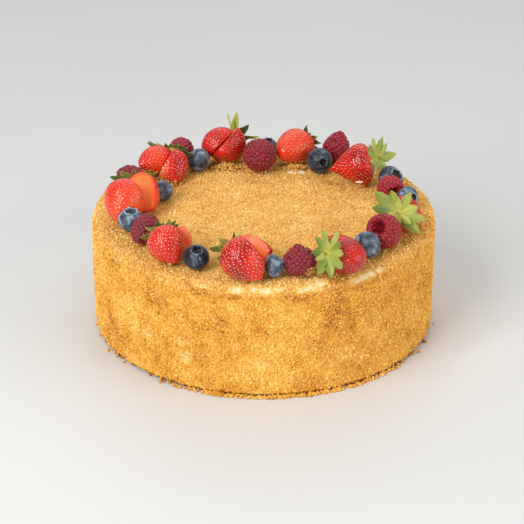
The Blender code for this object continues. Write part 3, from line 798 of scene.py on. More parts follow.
def cutStrawberry(piece, berry):
    # Cuts the berry flat and lays rings on the cut, which carry the colours of its flesh. It gives back
    # where the cut looks and how far from the middle it runs.
    way, kept = direction(*berry["face"]), berry["kept"] * mm
    face = np.array(way)
    pick(piece)
    editMesh()
    bpy.ops.mesh.select_all(action="SELECT")
    bpy.ops.mesh.bisect(plane_co=way * kept, plane_no=way, use_fill=True, clear_outer=True, threshold=1e-7)
    editMesh(done=True)
    points = readPoints(piece)
    rim = points[np.abs(points @ face - kept) < 1e-6]
    middle = Vector((rim.min(0) + rim.max(0)) / 2.0)
    middle -= way * (middle.dot(way) - kept)
    editMesh()
    before = 1.0
    for share in strawberryForm["cutRings"]:
        bpy.ops.mesh.extrude_region()
        bpy.ops.transform.resize(value=(share / before,) * 3, center_override=middle)
        before = share
    bpy.ops.mesh.poke()
    editMesh(done=True)
    points = readPoints(piece)
    flat = np.abs(points @ face - kept) < 2e-6
    for part in piece.data.polygons:
        part.material_index = int(all(flat[i] for i in part.vertices))
    edge = searchTree(rim)
    inward = np.array([edge.find(point)[2] if level else 0.0 for point, level in zip(points, flat)])
    # Along the berry and across it, on the cut: fibres slant from the middle line towards the point.
    tip = np.array(direction(*berry["tip"]))
    lengthways = tip - face * (tip @ face)
    lengthways /= np.linalg.norm(lengthways)
    across = (points - np.array(middle)) @ np.cross(face, lengthways)
    down = (points - np.array(middle)) @ lengthways
    wide, long = (v * mm for v in strawberryForm["heartSize"])
    heart = np.exp(-(across / wide) ** 2 - ((down + strawberryForm["heartUp"] * mm) / long) ** 2) * flat
    writeValue(piece, "inward", inward / (strawberryForm["cutFade"] * mm))
    writeValue(piece, "fibre", (down - strawberryForm["slant"] * np.abs(across)) / mm)
    writeValue(piece, "heart", heart * strawberryForm["heart"] * berry.get("heart", 1.0))
    writePoints(piece, points - face * (heart * strawberryForm["core"] * mm)[:, None])
    return face, kept


def makeStrawberry(berry, number, skin, flesh):
    form, size, waver = strawberryForm, berry["size"], 1.7 * number
    length, girth = size[0] * mm, (size[1] + size[2]) / 4.0 * mm
    site, siteTurn = spiralSites(lambda t: (girth * strawberryRing(t, berry), t * length),
                                 form["seedGap"] * mm, form["seedsFrom"], form["seedsTo"])
    siteTurn = siteTurn + waver
    nudge = np.random.default_rng(number).normal(0.0, 1.0, (2, len(site)))
    site, siteTurn = site + form["seedNudge"][0] * nudge[0], siteTurn + form["seedNudge"][1] * nudge[1]
    seeds = strawberrySurface(site, siteTurn, berry, waver)
    ahead = strawberrySurface(site + 0.01, siteTurn, berry, waver) - seeds
    aside = strawberrySurface(site, siteTurn + 0.02, berry, waver) - seeds
    outward = np.cross(aside, ahead)
    outward /= np.linalg.norm(outward, axis=1, keepdims=True)

    deselectAll()
    bpy.ops.mesh.primitive_uv_sphere_add(segments=form["sides"], ring_count=form["rows"])
    piece = named(berry["piece"])
    ball = readPoints(piece)
    fromStalk = np.arccos(np.clip(-ball[:, 2], -1.0, 1.0)) / math.pi
    writePoints(piece, strawberrySurface(fromStalk, np.arctan2(ball[:, 1], ball[:, 0]), berry, waver))
    points, normals = readPoints(piece), readPoints(piece, normals=True)
    tree = searchTree(seeds)
    nearest = np.array([tree.find(point)[2] for point in points])
    depth, reach = (v * mm for v in form["dimple"])
    pit = smoothBump(nearest, reach)
    points -= normals * (pit * depth - depth * form["dimpleRim"])[:, None]
    turned = turnTo(direction(*berry["tip"])).T
    writePoints(piece, points @ turned)
    ripe = np.full(len(points), berry["ripe"])
    if "pale" in berry:
        yaw, pitch, paler = berry["pale"]
        ripe -= paler * np.clip(points @ turned @ np.array(direction(yaw, pitch)) / girth, 0.0, 1.0) ** 2
    writeValue(piece, "pit", pit)
    writeValue(piece, "ripe", ripe)
    writeValue(piece, "shoulder", np.clip(1.0 - fromStalk / form["shoulder"][0], 0.0, 1.0) * form["shoulder"][1])
    piece.data.materials.append(skin)
    piece.data.materials.append(flesh)

    if "face" in berry:
        face, kept = cutStrawberry(piece, berry)
        keep = (seeds @ turned) @ face < kept - form["cutBare"] * mm
        seeds, outward, ahead = seeds[keep], outward[keep], ahead[keep]
    lift = setDown(piece, berry["at"], berry["piece"], berry.get("up", 0.0))
    pick(piece)
    bpy.ops.object.shade_smooth_by_angle(angle=math.radians(50.0))
    sunk = seeds - outward * (depth * (1.0 - form["dimpleRim"]) - form["seedSunk"] * mm)
    sites = frames(sunk @ turned + np.array(lift), outward @ turned, ahead @ turned)
    sites[:, :3, :3] *= berry["seeds"]
    return piece, lift, sites


berryPieces = {}  # the dressed berries that crumbs cling to


def makeStrawberries():
    skin, flesh = strawberrySkin(), strawberryFlesh()
    centres, places = {}, []
    for number, berry in enumerate(strawberries):
        piece, lift, seeds = makeStrawberry(berry, number, skin, flesh)
        finishPiece(piece, "strawberry_skin", berry["piece"])
        centres[berry["piece"]] = (lift, direction(*berry["tip"]), berry["size"][0] * mm)
        berryPieces[berry["piece"]] = piece
        places.append(seeds)
    places = np.concatenate(places)
    deselectAll()
    bpy.ops.mesh.primitive_uv_sphere_add(segments=6, ring_count=4, radius=0.5)
    seed = named("seed")
    points = readPoints(seed)
    taper, slim = strawberryForm["seedTaper"], strawberryForm["seedSlim"]
    points[:, 1:] *= (1.0 - taper * np.clip(points[:, 0] * 2.0, -1.0, 1.0))[:, None] * slim     # a drop shape
    writePoints(seed, points * np.array(strawberryForm["seedSize"]) * mm)
    draw = np.random.default_rng(5)
    seeds = joinCopies("strawberry_seeds", seed, places, tone=draw.uniform(0.0, 1.0, len(places)))
    seeds.data.materials.append(seedMaterial())
    finishPiece(seeds, "strawberry_skin")
    print("strawberries and", len(places), "seeds")
    return centres


# Leaf caps. A cap sits back mm behind the stalk end of its berry, moved from there by its shift, and looks
# away from the berry's point, or where looks says. Each leaf: its turn round the cap, length, width, rise and
# curl, and tone from dark to pale.
leafCaps = [
    {"piece": "leaf_cap_1", "berry": "strawberry_1_back", "back": 1.0, "looks": (104, 22), "shift": (2.7, 0.8, -2.5),
     "leaves": [
        (13, 14.5, 5.5, 4, 0, 0.15), (34, 10.5, 5, 10, 0, 0.5), (82, 7.5, 4, 6, 0, 0.3),
        (150, 10.5, 5, 8, 0, 0.3), (166, 14, 4.2, 6, 0, 0.55), (342, 15, 2.2, -4, -20, 0.9),
        (200, 7, 4, -4, 0, 0.3), (240, 7, 4, -2, 0, 0.2), (290, 8, 4.5, 0, 0, 0.3)]},
    {"piece": "leaf_cap_2", "berry": "strawberry_2_right", "back": 5.5, "looks": (76, 34), "shift": (2.4, -1.3, -3.6),
     "leaves": [
        (5, 15.5, 3.2, 4, 10, 0.1), (17, 14.5, 1.6, 0, 25, 0.3), (30, 10, 1.5, -4, 20, 0.55),
        (52, 5.5, 3.5, 0, 0, 0.3), (92, 5, 4, 0, 0, 0.35), (133, 6.5, 4, 4, 0, 0.35), (172, 9, 5, 8, -10, 0.1),
        (184, 13.5, 6, -6, -10, 0.2), (198, 14.5, 4.4, -12, -10, 0.4), (240, 6, 4, -4, 0, 0.2)]},
    {"piece": "leaf_cap_3", "berry": "strawberry_3_right", "back": 0.5, "looks": (70, 34), "shift": (2.8, 2.2, -1.4),
     "leaves": [
        (94, 15, 4.8, 44, 6, 0.85), (84, 11, 3.5, 42, 0, 0.5), (56, 14, 2.2, 48, -15, 0.95),
        (138, 13.5, 6, 16, 4, 0.15), (172, 16, 4.2, 2, -6, 0.85), (182, 9, 3, 0, 0, 0.5), (0, 7, 4, 6, 0, 0.3),
        (222, 7, 4.5, 6, 0, 0.2), (262, 7, 4.5, 8, 0, 0.3), (302, 7, 4, 6, 0, 0.2)]},
    {"piece": "leaf_cap_4", "berry": "strawberry_4", "back": 0.0, "looks": (46, 4), "shift": (1.5, -1.9, 2.9),
     "leaves": [
        (95, 8.5, 3.5, 0, 10, 0.1), (42, 6.5, 4, -10, 0, 0.3), (62, 5.5, 4, -8, 0, 0.3),
        (130, 6, 4, -4, 0, 0.3), (160, 8, 4, 10, 0, 0.4), (185, 10, 4, 12, 10, 0.2), (207, 9, 4, 5, 0, 0.35),
        (250, 6, 4, -6, 0, 0.2), (292, 6, 4, -6, 0, 0.2), (335, 6, 4, -8, 0, 0.3)]},
    {"piece": "leaf_cap_5", "berry": "strawberry_5", "back": 2.8, "looks": (-40, 38), "shift": (0.4, 2.9, -0.4),
     "leaves": [
        (90, 12.5, 5, 22, -10, 0.8), (54, 13, 5.2, 22, 10, 0.6), (30, 11.5, 4.6, 20, 0, 0.75),
        (-8, 13.5, 7, 10, 20, 0.7), (-36, 5, 4, 20, 0, 0.5), (-74, 6, 4.4, 18, 0, 0.75),
        (-108, 8.5, 4.4, 20, 0, 0.5), (216, 12, 5, 18, 10, 0.6), (180, 12.5, 5, 22, 0, 0.8),
        (150, 13, 5.4, 24, 0, 0.7), (121, 11.5, 5, 22, 10, 0.55)]},
    {"piece": "leaf_cap_6", "berry": "strawberry_6", "back": 0.5, "leaves": [
        (149, 18.0, 8.8, 2, 8, 0.55), (117, 13, 6.6, 8, 14, 0.65), (67, 13.5, 6, 6, 0, 0.75),
        (92, 8, 4.5, 20, 0, 0.95), (178, 15.5, 7.4, 0, -14, 0.3), (25, 13, 6.6, 12, 20, 0.95),
        (357, 16, 7, 4, 0, 0.7), (334, 10, 4.5, 14, 0, 0.9), (328, 16.5, 7.6, 0, -12, 0.6),
        (285, 9.5, 5, 30, 0, 0.55), (250, 7, 4, 34, 0, 0.7), (215, 7.5, 4.5, 34, 0, 0.85)]},
    {"piece": "leaf_cap_7", "berry": "strawberry_7", "back": 2.0, "looks": (-136, 16), "shift": (1.2, -1.6, 2.0),
     "leaves": [
        (114, 12.5, 6, 6, 6, 0.65), (70, 15, 4.2, 6, -10, 0.85), (92, 8, 4, 16, 0, 0.8),
        (149, 11, 6, 4, 0, 0.45), (195, 10.5, 6.4, 2, 14, 0.35), (225, 7, 4, 18, 0, 0.75),
        (256, 13, 6.8, 0, 0, 0.55), (304, 13.5, 6.6, 6, -10, 0.6), (280, 7, 4, 18, 0, 0.4),
        (346, 14, 6.2, 8, 0, 0.65), (21, 13.5, 5.6, 10, 10, 0.75), (48, 13, 4.6, 8, 12, 0.5)]},
    {"piece": "leaf_cap_8", "berry": "strawberry_8_front", "back": 2.0, "looks": (146, 22), "shift": (2.8, 5.2, -6.7),
     "leaves": [
        (0, 12.5, 6, 30, -10, 0.55), (14, 8, 4, 20, 0, 0.8), (42, 10, 5, 30, 0, 0.9), (90, 9.7, 3, 5, 8, 0.1),
        (110, 12, 2.8, -5, 0, 0.9), (-38, 10.5, 4.2, 10, 0, 0.5), (150, 7, 4, 5, 0, 0.3),
        (190, 7, 4, 5, 0, 0.3), (230, 7, 4, 5, 0, 0.3), (280, 7, 4, 5, 0, 0.3)]},
    {"piece": "leaf_cap_9", "berry": "strawberry_9_front", "back": 2.6, "looks": (112, 26), "shift": (4.3, 4.0, -4.8),
     "leaves": [
        (350, 13.5, 5, -5, 0, 0.45), (10, 10, 4.5, 10, 10, 0.7), (50, 6.5, 5, 20, 0, 0.15),
        (78, 5, 3, 10, 0, 0.4), (112, 7.5, 4.8, 10, 0, 0.95), (140, 8, 3.5, 4, 10, 0.3),
        (170, 9, 4.5, 5, 10, 0.2), (215, 7, 4, 0, 0, 0.3), (257, 7, 4, 0, 0, 0.3), (302, 7, 4, 0, 0, 0.3)]},
]
leafForm = {
    "hub": 0.8, "hubSize": 2.3,         # how far from the middle the leaves start, and the hub's radius
    "across": 8, "along": 30,           # faces of a leaf
    "thick": 0.32, "fold": 0.9, "wave": 0.5, "waves": 8.0,
    "root": (0.12, 0.62), "point": 0.72,        # how wide it starts, how soon it widens, and how drawn out it ends
    "teeth": 0.16, "teethApart": 3.4, "teethFrom": 0.3,
    "gap": 0.5,                         # between the hub and the berry
    "stalk": (1.15, 1.3),               # radius and length of the stub
}


# Strawberry leaves: soft satin with fine veins along each leaf, yellow-green at the root, and from deep
# green to a pale grey-green. Light comes through a little. The stub of the stalk is dry and brown.
def leafMaterial():
    material, tree = newMaterial("strawberryLeaf", Roughness=0.5, IOR=1.4, Subsurface_Weight=0.2,
                                 Subsurface_Radius=(0.5, 1.0, 0.2), Subsurface_Scale=0.6 * mm, Sheen_Weight=0.15)
    tone, along, across, dryAndShade = [addNode(tree, "ShaderNodeAttribute", attribute_name=name).outputs["Fac"]
                                for name in ("tone", "along", "across", "dryAndShade")]
    ways = addNode(tree, "ShaderNodeCombineXYZ", {0: across, 1: along, 2: tone})
    stretched = addNode(tree, "ShaderNodeVectorMath", {0: ways, 1: (7.0, 0.7, 9.0)}, operation="MULTIPLY")
    veins = addNode(tree, "ShaderNodeTexNoise", {"Vector": stretched, "Scale": 1.0, "Detail": 2.0})
    mixed = addNode(tree, "ShaderNodeMath", {0: veins, 1: 0.8, 2: tone}, operation="MULTIPLY_ADD")
    scaled = addNode(tree, "ShaderNodeMath", {0: mixed, 1: 0.72, 2: -0.06}, operation="MULTIPLY_ADD")
    shade = addNode(tree, "ShaderNodeValToRGB", {"Fac": scaled}, stops=[
        (0.15, "#2c4813"), (0.4, "#557425"), (0.66, "#8b9a3e"), (0.95, "#bfc164")])
    root = addNode(tree, "ShaderNodeMapRange", {"Value": along, "From Min": 0.0, "From Max": 0.45, "To Min": 0.75,
                                                "To Max": 0.0})
    rooted = addNode(tree, "ShaderNodeMixRGB", {"Fac": root, "Color1": shade, "Color2": "#b8b244"})
    aged = addNode(tree, "ShaderNodeMixRGB", {"Fac": dryAndShade, "Color1": rooted, "Color2": "#6a5a22"})
    bump = addNode(tree, "ShaderNodeBump", {"Strength": 0.6, "Distance": 0.15 * mm, "Height": veins})
    return setFinish(material, Base_Color=aged, Normal=bump)


def makeLeaf(turn, length, width, rise, curl, tone, wobble):
    deselectAll()
    bpy.ops.mesh.primitive_grid_add(x_subdivisions=leafForm["across"], y_subdivisions=leafForm["along"], size=2.0)
    leaf = named("leaf")
    points = readPoints(leaf)
    across, along = points[:, 0], (points[:, 1] + 1.0) / 2.0
    steps = np.linspace(0.0, 1.0, 60)
    bend = np.radians(rise + curl * (steps - 0.35))
    step = length * mm / (len(steps) - 1)
    out = np.interp(along, steps, np.concatenate([[0.0], np.cumsum(np.cos(bend[1:]) * step)]))
    up = np.interp(along, steps, np.concatenate([[0.0], np.cumsum(np.sin(bend[1:]) * step)]))
    start, widen = leafForm["root"]
    outline = (steps + start) ** widen * np.clip(1.0 - steps, 0.0, 1.0) ** leafForm["point"]
    teeth = (0.5 - leafForm["teethApart"] * steps) % 1.0 - 0.4
    outline *= 1.0 + leafForm["teeth"] * teeth * np.clip((steps - leafForm["teethFrom"]) / 0.15, 0.0, 1.0)
    half = np.interp(along, steps, outline / outline.max()) * width * mm / 2.0
    up = up - leafForm["fold"] * mm * np.abs(across) * np.minimum(1.0, half / (0.3 * width * mm))
    up = up + leafForm["wave"] * mm * np.sin(leafForm["waves"] * along + wobble) * across * along
    out, side = out + leafForm["hub"] * mm, across * half
    yaw = math.radians(turn)
    writePoints(leaf, np.stack([out * math.cos(yaw) - side * math.sin(yaw),
                                out * math.sin(yaw) + side * math.cos(yaw), up], axis=1))
    writeValue(leaf, "across", across)
    writeValue(leaf, "along", along)
    writeValue(leaf, "tone", tone)
    thick = leaf.modifiers.new("thick", "SOLIDIFY")
    thick.thickness = leafForm["thick"] * mm
    thick.offset = 0.0
    applyModifiers(leaf)
    return leaf


def makeStalk():
    radius, high = (v * mm for v in leafForm["stalk"])
    deselectAll()
    bpy.ops.mesh.primitive_cylinder_add(vertices=16, radius=radius, depth=high, location=(0, 0, high / 2.0))
    stalk = named("stalk")
    bpy.ops.object.transform_apply(location=True)
    unselectMesh()
    for face in stalk.data.polygons:
        face.select = face.normal.z > 0.9
    editMesh()
    bpy.ops.mesh.select_mode(type="FACE")
    bpy.ops.mesh.inset(thickness=radius * 0.35)
    bpy.ops.mesh.extrude_region_move(TRANSFORM_OT_translate={"value": (0.0, 0.0, -0.6 * mm)})
    editMesh(done=True)
    points = readPoints(stalk)
    writeValue(stalk, "tone", 0.8)
    writeValue(stalk, "dryAndShade", (np.hypot(points[:, 0], points[:, 1]) < radius * 0.9) * 0.9)
    return stalk


def makeHub(back):
    # A low cushion that the leaves grow from. Its underside reaches back to the berry.
    radius, low = leafForm["hubSize"] * mm, 0.32
    deselectAll()
    bpy.ops.mesh.primitive_uv_sphere_add(segments=24, ring_count=12, radius=radius)
    hub = named("hub")
    points = readPoints(hub)
    points[:, 2] *= np.where(points[:, 2] > 0.0, low, max(low, back / radius))
    writePoints(hub, points)
    writeValue(hub, "tone", 0.75)
    return hub


def makeLeafCaps(centres):
    material = leafMaterial()
    for number, cap in enumerate(leafCaps):
        centre, tip, length = centres[cap["berry"]]
        outward = direction(*cap["looks"]) if "looks" in cap else -tip
        back = (cap["back"] + leafForm["gap"]) * mm
        leaves = [makeLeaf(*leaf, wobble=1.9 * i + number) for i, leaf in enumerate(cap["leaves"])]
        joinPieces(*leaves, makeHub(back), makeStalk())
        piece = named(cap["piece"])
        base = centre - tip * length / 2.0 + outward * back + Vector(cap.get("shift", (0.0, 0.0, 0.0))) * mm
        writePoints(piece, readPoints(piece) @ turnTo(outward).T + np.array(base))
        piece.data.materials.append(material)
        bpy.ops.object.shade_smooth_by_angle(angle=math.radians(60.0))
        finishPiece(piece, "strawberry_leaf", cap["piece"])
    print("leaf caps")


# Raspberries: where each stands, its length and width, where its point looks, and its tone from crimson (0)
# to dusky purple (1). Two also have cone, because they are more pointed than the others.
raspberries = [
    {"piece": "raspberry_1", "at": (-81.8, 28.2), "size": (17.0, 13.4), "tip": (150, 4), "dusky": 0.55},
    {"piece": "raspberry_2", "at": (-51.9, 69.6), "size": (15.0, 14.2), "tip": (100, 16), "dusky": 0.35},
    {"piece": "raspberry_3", "at": (-68.6, -48.0), "size": (19.5, 14.0), "tip": (-112, -12), "dusky": 0.6},
    {"piece": "raspberry_4", "at": (-3.4, 51.6), "size": (18.5, 19.8), "tip": (-105, -12), "dusky": 0.5},
    {"piece": "raspberry_5", "at": (45.4, 67.0), "size": (20.0, 16.0), "tip": (20, 76), "cone": 1.0, "dusky": 0.4},
    {"piece": "raspberry_6", "at": (74.9, 10.6), "size": (15.2, 15.4), "tip": (110, 2), "dusky": 0.2},
    {"piece": "raspberry_7", "at": (69.2, -50.8), "size": (18.5, 19.0), "tip": (51, -38), "dusky": 0.25},
    {"piece": "raspberry_8", "at": (19.4, -85.7), "size": (16.4, 18.0), "tip": (150, 80), "cone": 1.15,
     "dusky": 0.55},
]
raspberryForm = {
    "brim": 0.78, "pastWidest": 138.0,  # the share of the profile that is outside, and how far round its swell goes
    "cone": 0.8,                        # how pointed
    "mouth": 0.58, "deep": 0.5,         # width and depth of the hollow, as shares of the berry's
    "gap": 2.5, "round": 1.48, "sunk": 0.7, "uneven": 0.22,     # the beads: apart, radius, set in, and how uneven
    "beadsTo": 0.90, "seam": 0.45, "shades": 0.09,      # the last beads, a seam's reach, how unlike the beads are
    "coreInset": 0.55, "cell": 0.3,     # how deep the core lies, and the mesh size
}


# Raspberry drupelets: juicy skin under a faint down, so its shine is broad and soft, and each bead has
# its own shade of crimson. The seams between the beads are deeper, and painted darker as shade.
def raspberryMaterial():
    material, tree = newMaterial("raspberryDrupelets", Roughness=0.38, IOR=1.4, Subsurface_Weight=0.25,
                                 Subsurface_Radius=(1.0, 0.2, 0.25), Subsurface_Scale=1.0 * mm,
                                 Sheen_Weight=0.35, Sheen_Roughness=0.4, Sheen_Tint=linear("#eebcb4"))
    place = addNode(tree, "ShaderNodeTexCoord").outputs["Object"]
    tone, pit = [addNode(tree, "ShaderNodeAttribute", attribute_name=name).outputs["Fac"]
                 for name in ("tone", "pit")]
    shade = addNode(tree, "ShaderNodeValToRGB", {"Fac": tone}, stops=[
        (0.0, "#c01f2e"), (0.35, "#a41d30"), (0.7, "#842430"), (1.0, "#702a30")])
    # Painted shade: the seams between the beads are darkened.
    seam = addNode(tree, "ShaderNodeMath", {0: pit, 1: 0.75}, operation="MULTIPLY")
    mix = addNode(tree, "ShaderNodeMixRGB", {"Fac": seam, "Color1": shade, "Color2": "#3c0a12"})
    fine = addNode(tree, "ShaderNodeTexNoise", {"Vector": place, "Scale": grain(0.35), "Detail": 2.0})
    bump = addNode(tree, "ShaderNodeBump", {"Strength": 0.3, "Distance": 0.1 * mm, "Height": fine})
    return setFinish(material, Base_Color=mix, Normal=bump)


def raspberryProfile(fromTip, length, width, cone):
    form = raspberryForm
    along = np.clip(fromTip / form["brim"], 0.0, 1.0)
    inward = np.clip((fromTip - form["brim"]) / (1.0 - form["brim"]), 0.0, 1.0)
    outside = fromTip < form["brim"]
    radius = np.where(outside, width / 2.0 * np.sin(math.radians(form["pastWidest"]) * along) ** cone,
                      width / 2.0 * form["mouth"] * (1.0 - inward) ** 0.6)
    height = np.where(outside, length * (0.5 - along ** 1.12), length * (-0.5 + form["deep"] * inward ** 1.6))
    return radius, height


def makeRaspberry(berry, number):
    length, width = (v * mm for v in berry["size"])
    form = raspberryForm
    cone = berry.get("cone", form["cone"])
    share, turn = spiralSites(lambda t: raspberryProfile(t, length, width, cone), form["gap"] * mm, 0.0,
                              form["beadsTo"])
    draw = np.random.default_rng(40 + number)
    step = form["uneven"] * form["gap"] * mm
    share = np.clip(share + draw.normal(0.0, step * 0.5, len(share)) / length, 0.004, 0.9)
    radius, height = raspberryProfile(share, length, width, cone)
    turn = turn + draw.normal(0.0, step * 0.5, len(share)) / np.maximum(radius, 2.0 * mm)
    before, after = (raspberryProfile(share + step, length, width, cone) for step in (-0.01, 0.01))
    slope = np.stack([after[1] - before[1], before[0] - after[0]])    # across the profile, pointing out
    slope = -slope / np.maximum(np.linalg.norm(slope, axis=0), 1e-9)
    radius, height = radius - slope[0] * form["sunk"] * mm, height - slope[1] * form["sunk"] * mm
    beads = np.stack([radius * np.cos(turn), radius * np.sin(turn), height], axis=1)
    size = form["round"] * mm * draw.uniform(0.88, 1.1, len(beads)) * np.interp(share, [0.0, 0.2, 0.74, 0.9],
                                                                                [0.85, 1.0, 1.0, 0.7])
    places = np.zeros((len(beads), 4, 4))
    places[:, :3, :3] = np.eye(3) * size[:, None, None]
    places[:, :3, 3], places[:, 3, 3] = beads, 1.0
    deselectAll()
    bpy.ops.mesh.primitive_ico_sphere_add(subdivisions=3, radius=1.0)
    piece = joinCopies(berry["piece"], named("bead"), places)
    deselectAll()
    bpy.ops.mesh.primitive_uv_sphere_add(segments=40, ring_count=40, radius=1.0)
    core = named("core")
    ball = readPoints(core)
    fromTip = np.arccos(np.clip(ball[:, 2], -1.0, 1.0)) / math.pi
    radius, height = raspberryProfile(fromTip, length, width, cone)
    ringTurn = np.arctan2(ball[:, 1], ball[:, 0])
    writePoints(core, np.stack([radius * np.cos(ringTurn), radius * np.sin(ringTurn), height], axis=1))
    writePoints(core, readPoints(core) - readPoints(core, normals=True) * form["coreInset"] * mm)
    joinPieces(piece, core)
    piece.data.remesh_voxel_size = form["cell"] * mm
    bpy.ops.object.voxel_remesh()
    smooth = piece.modifiers.new("soft", "SMOOTH")
    smooth.factor, smooth.iterations = 0.5, 2
    applyModifiers(piece)
    tree = searchTree(beads)
    points = readPoints(piece)
    near = [tree.find_n(point, 2) for point in points]
    first = np.array([n[0][1] for n in near])
    seam = np.array([n[1][2] - n[0][2] for n in near])
    tone = np.clip(berry["dusky"] + draw.normal(0.0, form["shades"], len(beads)), 0.0, 1.0)[first]
    writeValue(piece, "tone", tone)
    writeValue(piece, "pit", smoothBump(seam, form["seam"] * mm))
    writePoints(piece, points @ turnTo(direction(*berry["tip"])).T)
    setDown(piece, berry["at"], berry["piece"])
    pick(piece)
    bpy.ops.object.shade_smooth()
    return piece


def makeRaspberries():
    material = raspberryMaterial()
    for number, berry in enumerate(raspberries):
        piece = makeRaspberry(berry, number)
        piece.data.materials.clear()
        piece.data.materials.append(material)
        finishPiece(piece, "raspberry_flesh", berry["piece"])
        berryPieces[berry["piece"]] = piece
    print("raspberries")


# Blueberries: where each stands, how far across, where its crown looks, and how much waxy bloom it has. Some
# also have wide (the crown against a usual one), inside (how dark the hollow in its middle is painted, as
# shade) and flat (the berry's height over its width).
blueberries = [
    {"piece": "blueberry_1", "at": (-77.0, -31.8), "across": 14.6, "crown": (-50, 84), "wide": 1.3, "inside": 0.5,
     "bloom": 0.68},
    {"piece": "blueberry_2", "at": (-60.4, 9.8), "across": 12.6, "crown": (96, 44), "bloom": 0.7},
    {"piece": "blueberry_3", "at": (-40.2, 53.8), "across": 14.6, "crown": (150, 12), "bloom": 0.58},
    {"piece": "blueberry_4", "at": (2.5, 78.3), "across": 12.0, "crown": (-60, 72), "bloom": 0.55},
    {"piece": "blueberry_5", "at": (34.3, 51.8), "across": 15.8, "crown": (-74, 15), "wide": 0.85, "bloom": 0.4},
    {"piece": "blueberry_6", "at": (76.6, 26.2), "across": 15.8, "crown": (-42, 42), "wide": 1.2, "flat": 0.86,
     "bloom": 0.5},
    {"piece": "blueberry_7", "at": (85.3, 1.9), "across": 12.8, "crown": (-54, 19), "bloom": 0.64},
    {"piece": "blueberry_8", "at": (58.0, -64.4), "across": 15.3, "crown": (60, 12), "bloom": 0.6},
    {"piece": "blueberry_9", "at": (5.6, -89.2), "across": 13.2, "crown": (16, 6), "flat": 0.78, "bloom": 0.72},
    {"piece": "blueberry_10", "at": (-37.4, -80.2), "across": 14.8, "crown": (-81, 63), "bloom": 0.25},
]
# The crown: how far from the middle and how high each of the first rows stands, in radii.
crownRows = [(0.0, 0.70), (0.14, 0.70), (0.25, 0.71), (0.31, 0.77), (0.335, 0.90), (0.36, 0.985), (0.40, 1.01),
             (0.43, 0.985), (0.455, 0.915), (0.50, 0.872)]
# inside: how dark the hollow of the crown is painted, as shade, and insideRows: over how many rows.
blueberryForm = {"flat": 0.93, "points": 5, "pointRise": 0.06, "pointSpread": 0.06, "rows": 44, "sides": 50,
                 "inside": 0.95, "insideRows": 4.5, "rimFrom": 0.90, "rimBloom": 0.45}


# Blueberry skin: nearly black blue, under a pale waxy bloom that fingers and stems have rubbed off in
# patches. Where the bloom is gone the skin shines. The hollow inside the crown is painted nearly black, as shade.
def blueberryMaterial():
    material, tree = newMaterial("blueberrySkin", IOR=1.4, Sheen_Weight=0.2, Sheen_Tint=linear("#b8c8dc"))
    place = addNode(tree, "ShaderNodeTexCoord").outputs["Object"]
    bloom, crown = [addNode(tree, "ShaderNodeAttribute", attribute_name=name).outputs["Fac"]
                    for name in ("bloom", "crown")]
    rubbed = addNode(tree, "ShaderNodeTexNoise", {"Vector": place, "Scale": grain(5.0), "Detail": 5.0,
                                                  "Roughness": 0.6, "Distortion": 0.6})
    added = addNode(tree, "ShaderNodeMath", {0: rubbed, 1: 2.6, 2: -1.35}, operation="MULTIPLY_ADD")
    waxy = addNode(tree, "ShaderNodeMath", {0: bloom, 1: added}, operation="ADD", use_clamp=True)
    shade = addNode(tree, "ShaderNodeValToRGB", {"Fac": waxy}, stops=[
        (0.0, "#14171e"), (0.3, "#262c36"), (0.6, "#4c5a6c"), (1.0, "#94a6b8")])
    # Painted shade: the hollow of the crown is darkened towards black.
    dryAndShade = addNode(tree, "ShaderNodeMixRGB", {"Fac": crown, "Color1": shade, "Color2": "#100d10"})
    rough = addNode(tree, "ShaderNodeMapRange", {"Value": waxy, "To Min": 0.3, "To Max": 0.62})
    fine = addNode(tree, "ShaderNodeTexNoise", {"Vector": place, "Scale": grain(0.5), "Detail": 3.0})
    bump = addNode(tree, "ShaderNodeBump", {"Strength": 0.2, "Distance": 0.1 * mm, "Height": fine})
    return setFinish(material, Base_Color=dryAndShade, Roughness=rough, Normal=bump)


def makeBlueberries():
    material = blueberryMaterial()
    form, last = blueberryForm, len(crownRows) - 1
    for number, berry in enumerate(blueberries):
        deselectAll()
        bpy.ops.mesh.primitive_uv_sphere_add(segments=form["sides"], ring_count=form["rows"], radius=1.0)
        piece = named(berry["piece"])
        ball = readPoints(piece)
        row = np.arccos(np.clip(ball[:, 2], -1.0, 1.0)) / math.pi * form["rows"]
        turn = np.arctan2(ball[:, 1], ball[:, 0])
        wide = berry.get("wide", 1.0)
        shoulder = math.asin(crownRows[-1][0] * wide)
        rest = math.cos(shoulder) - crownRows[-1][1]    # a wider crown sits lower on the berry
        polar = shoulder + (math.pi - shoulder) * (row - last) / (form["rows"] - last)
        inCrown = row < last + 0.01
        away = np.where(inCrown, np.interp(row, range(last + 1), [r[0] * wide for r in crownRows]), np.sin(polar))
        height = np.where(inCrown, np.interp(row, range(last + 1), [r[1] + rest for r in crownRows]), np.cos(polar))
        rim = np.clip((height - rest - form["rimFrom"]) / (1.0 - form["rimFrom"]), 0.0, 1.0) * inCrown
        starry = np.cos(form["points"] * turn + number) * (1.0 + 0.6 * np.sin(2.0 * turn + 3.0 * number))
        away = away + form["pointSpread"] * starry * rim
        height = height + form["pointRise"] * starry * rim
        uneven = 1.0 + 0.012 * np.sin(2.0 * turn + number) + 0.01 * np.sin(3.0 * turn + 2.0 * number)
        flat = berry.get("flat", form["flat"])
        points = np.stack([away * np.cos(turn) * uneven, away * np.sin(turn) * uneven, flat * height], axis=1)
        points = points * berry["across"] / 2.0 * mm
        writePoints(piece, points @ turnTo(direction(*berry["crown"])).T)
        inside = row < form["insideRows"]
        # The hollow of the crown gets the painted shade.
        writeValue(piece, "crown", np.where(inside, berry.get("inside", form["inside"]), 0.0))
        writeValue(piece, "bloom", berry["bloom"] + form["rimBloom"] * rim * ~inside)
        setDown(piece, berry["at"], berry["piece"])
        piece.data.materials.append(material)
        pick(piece)
        bpy.ops.object.shade_smooth()
        finishPiece(piece, "blueberry_skin", berry["piece"])
    print("blueberries")


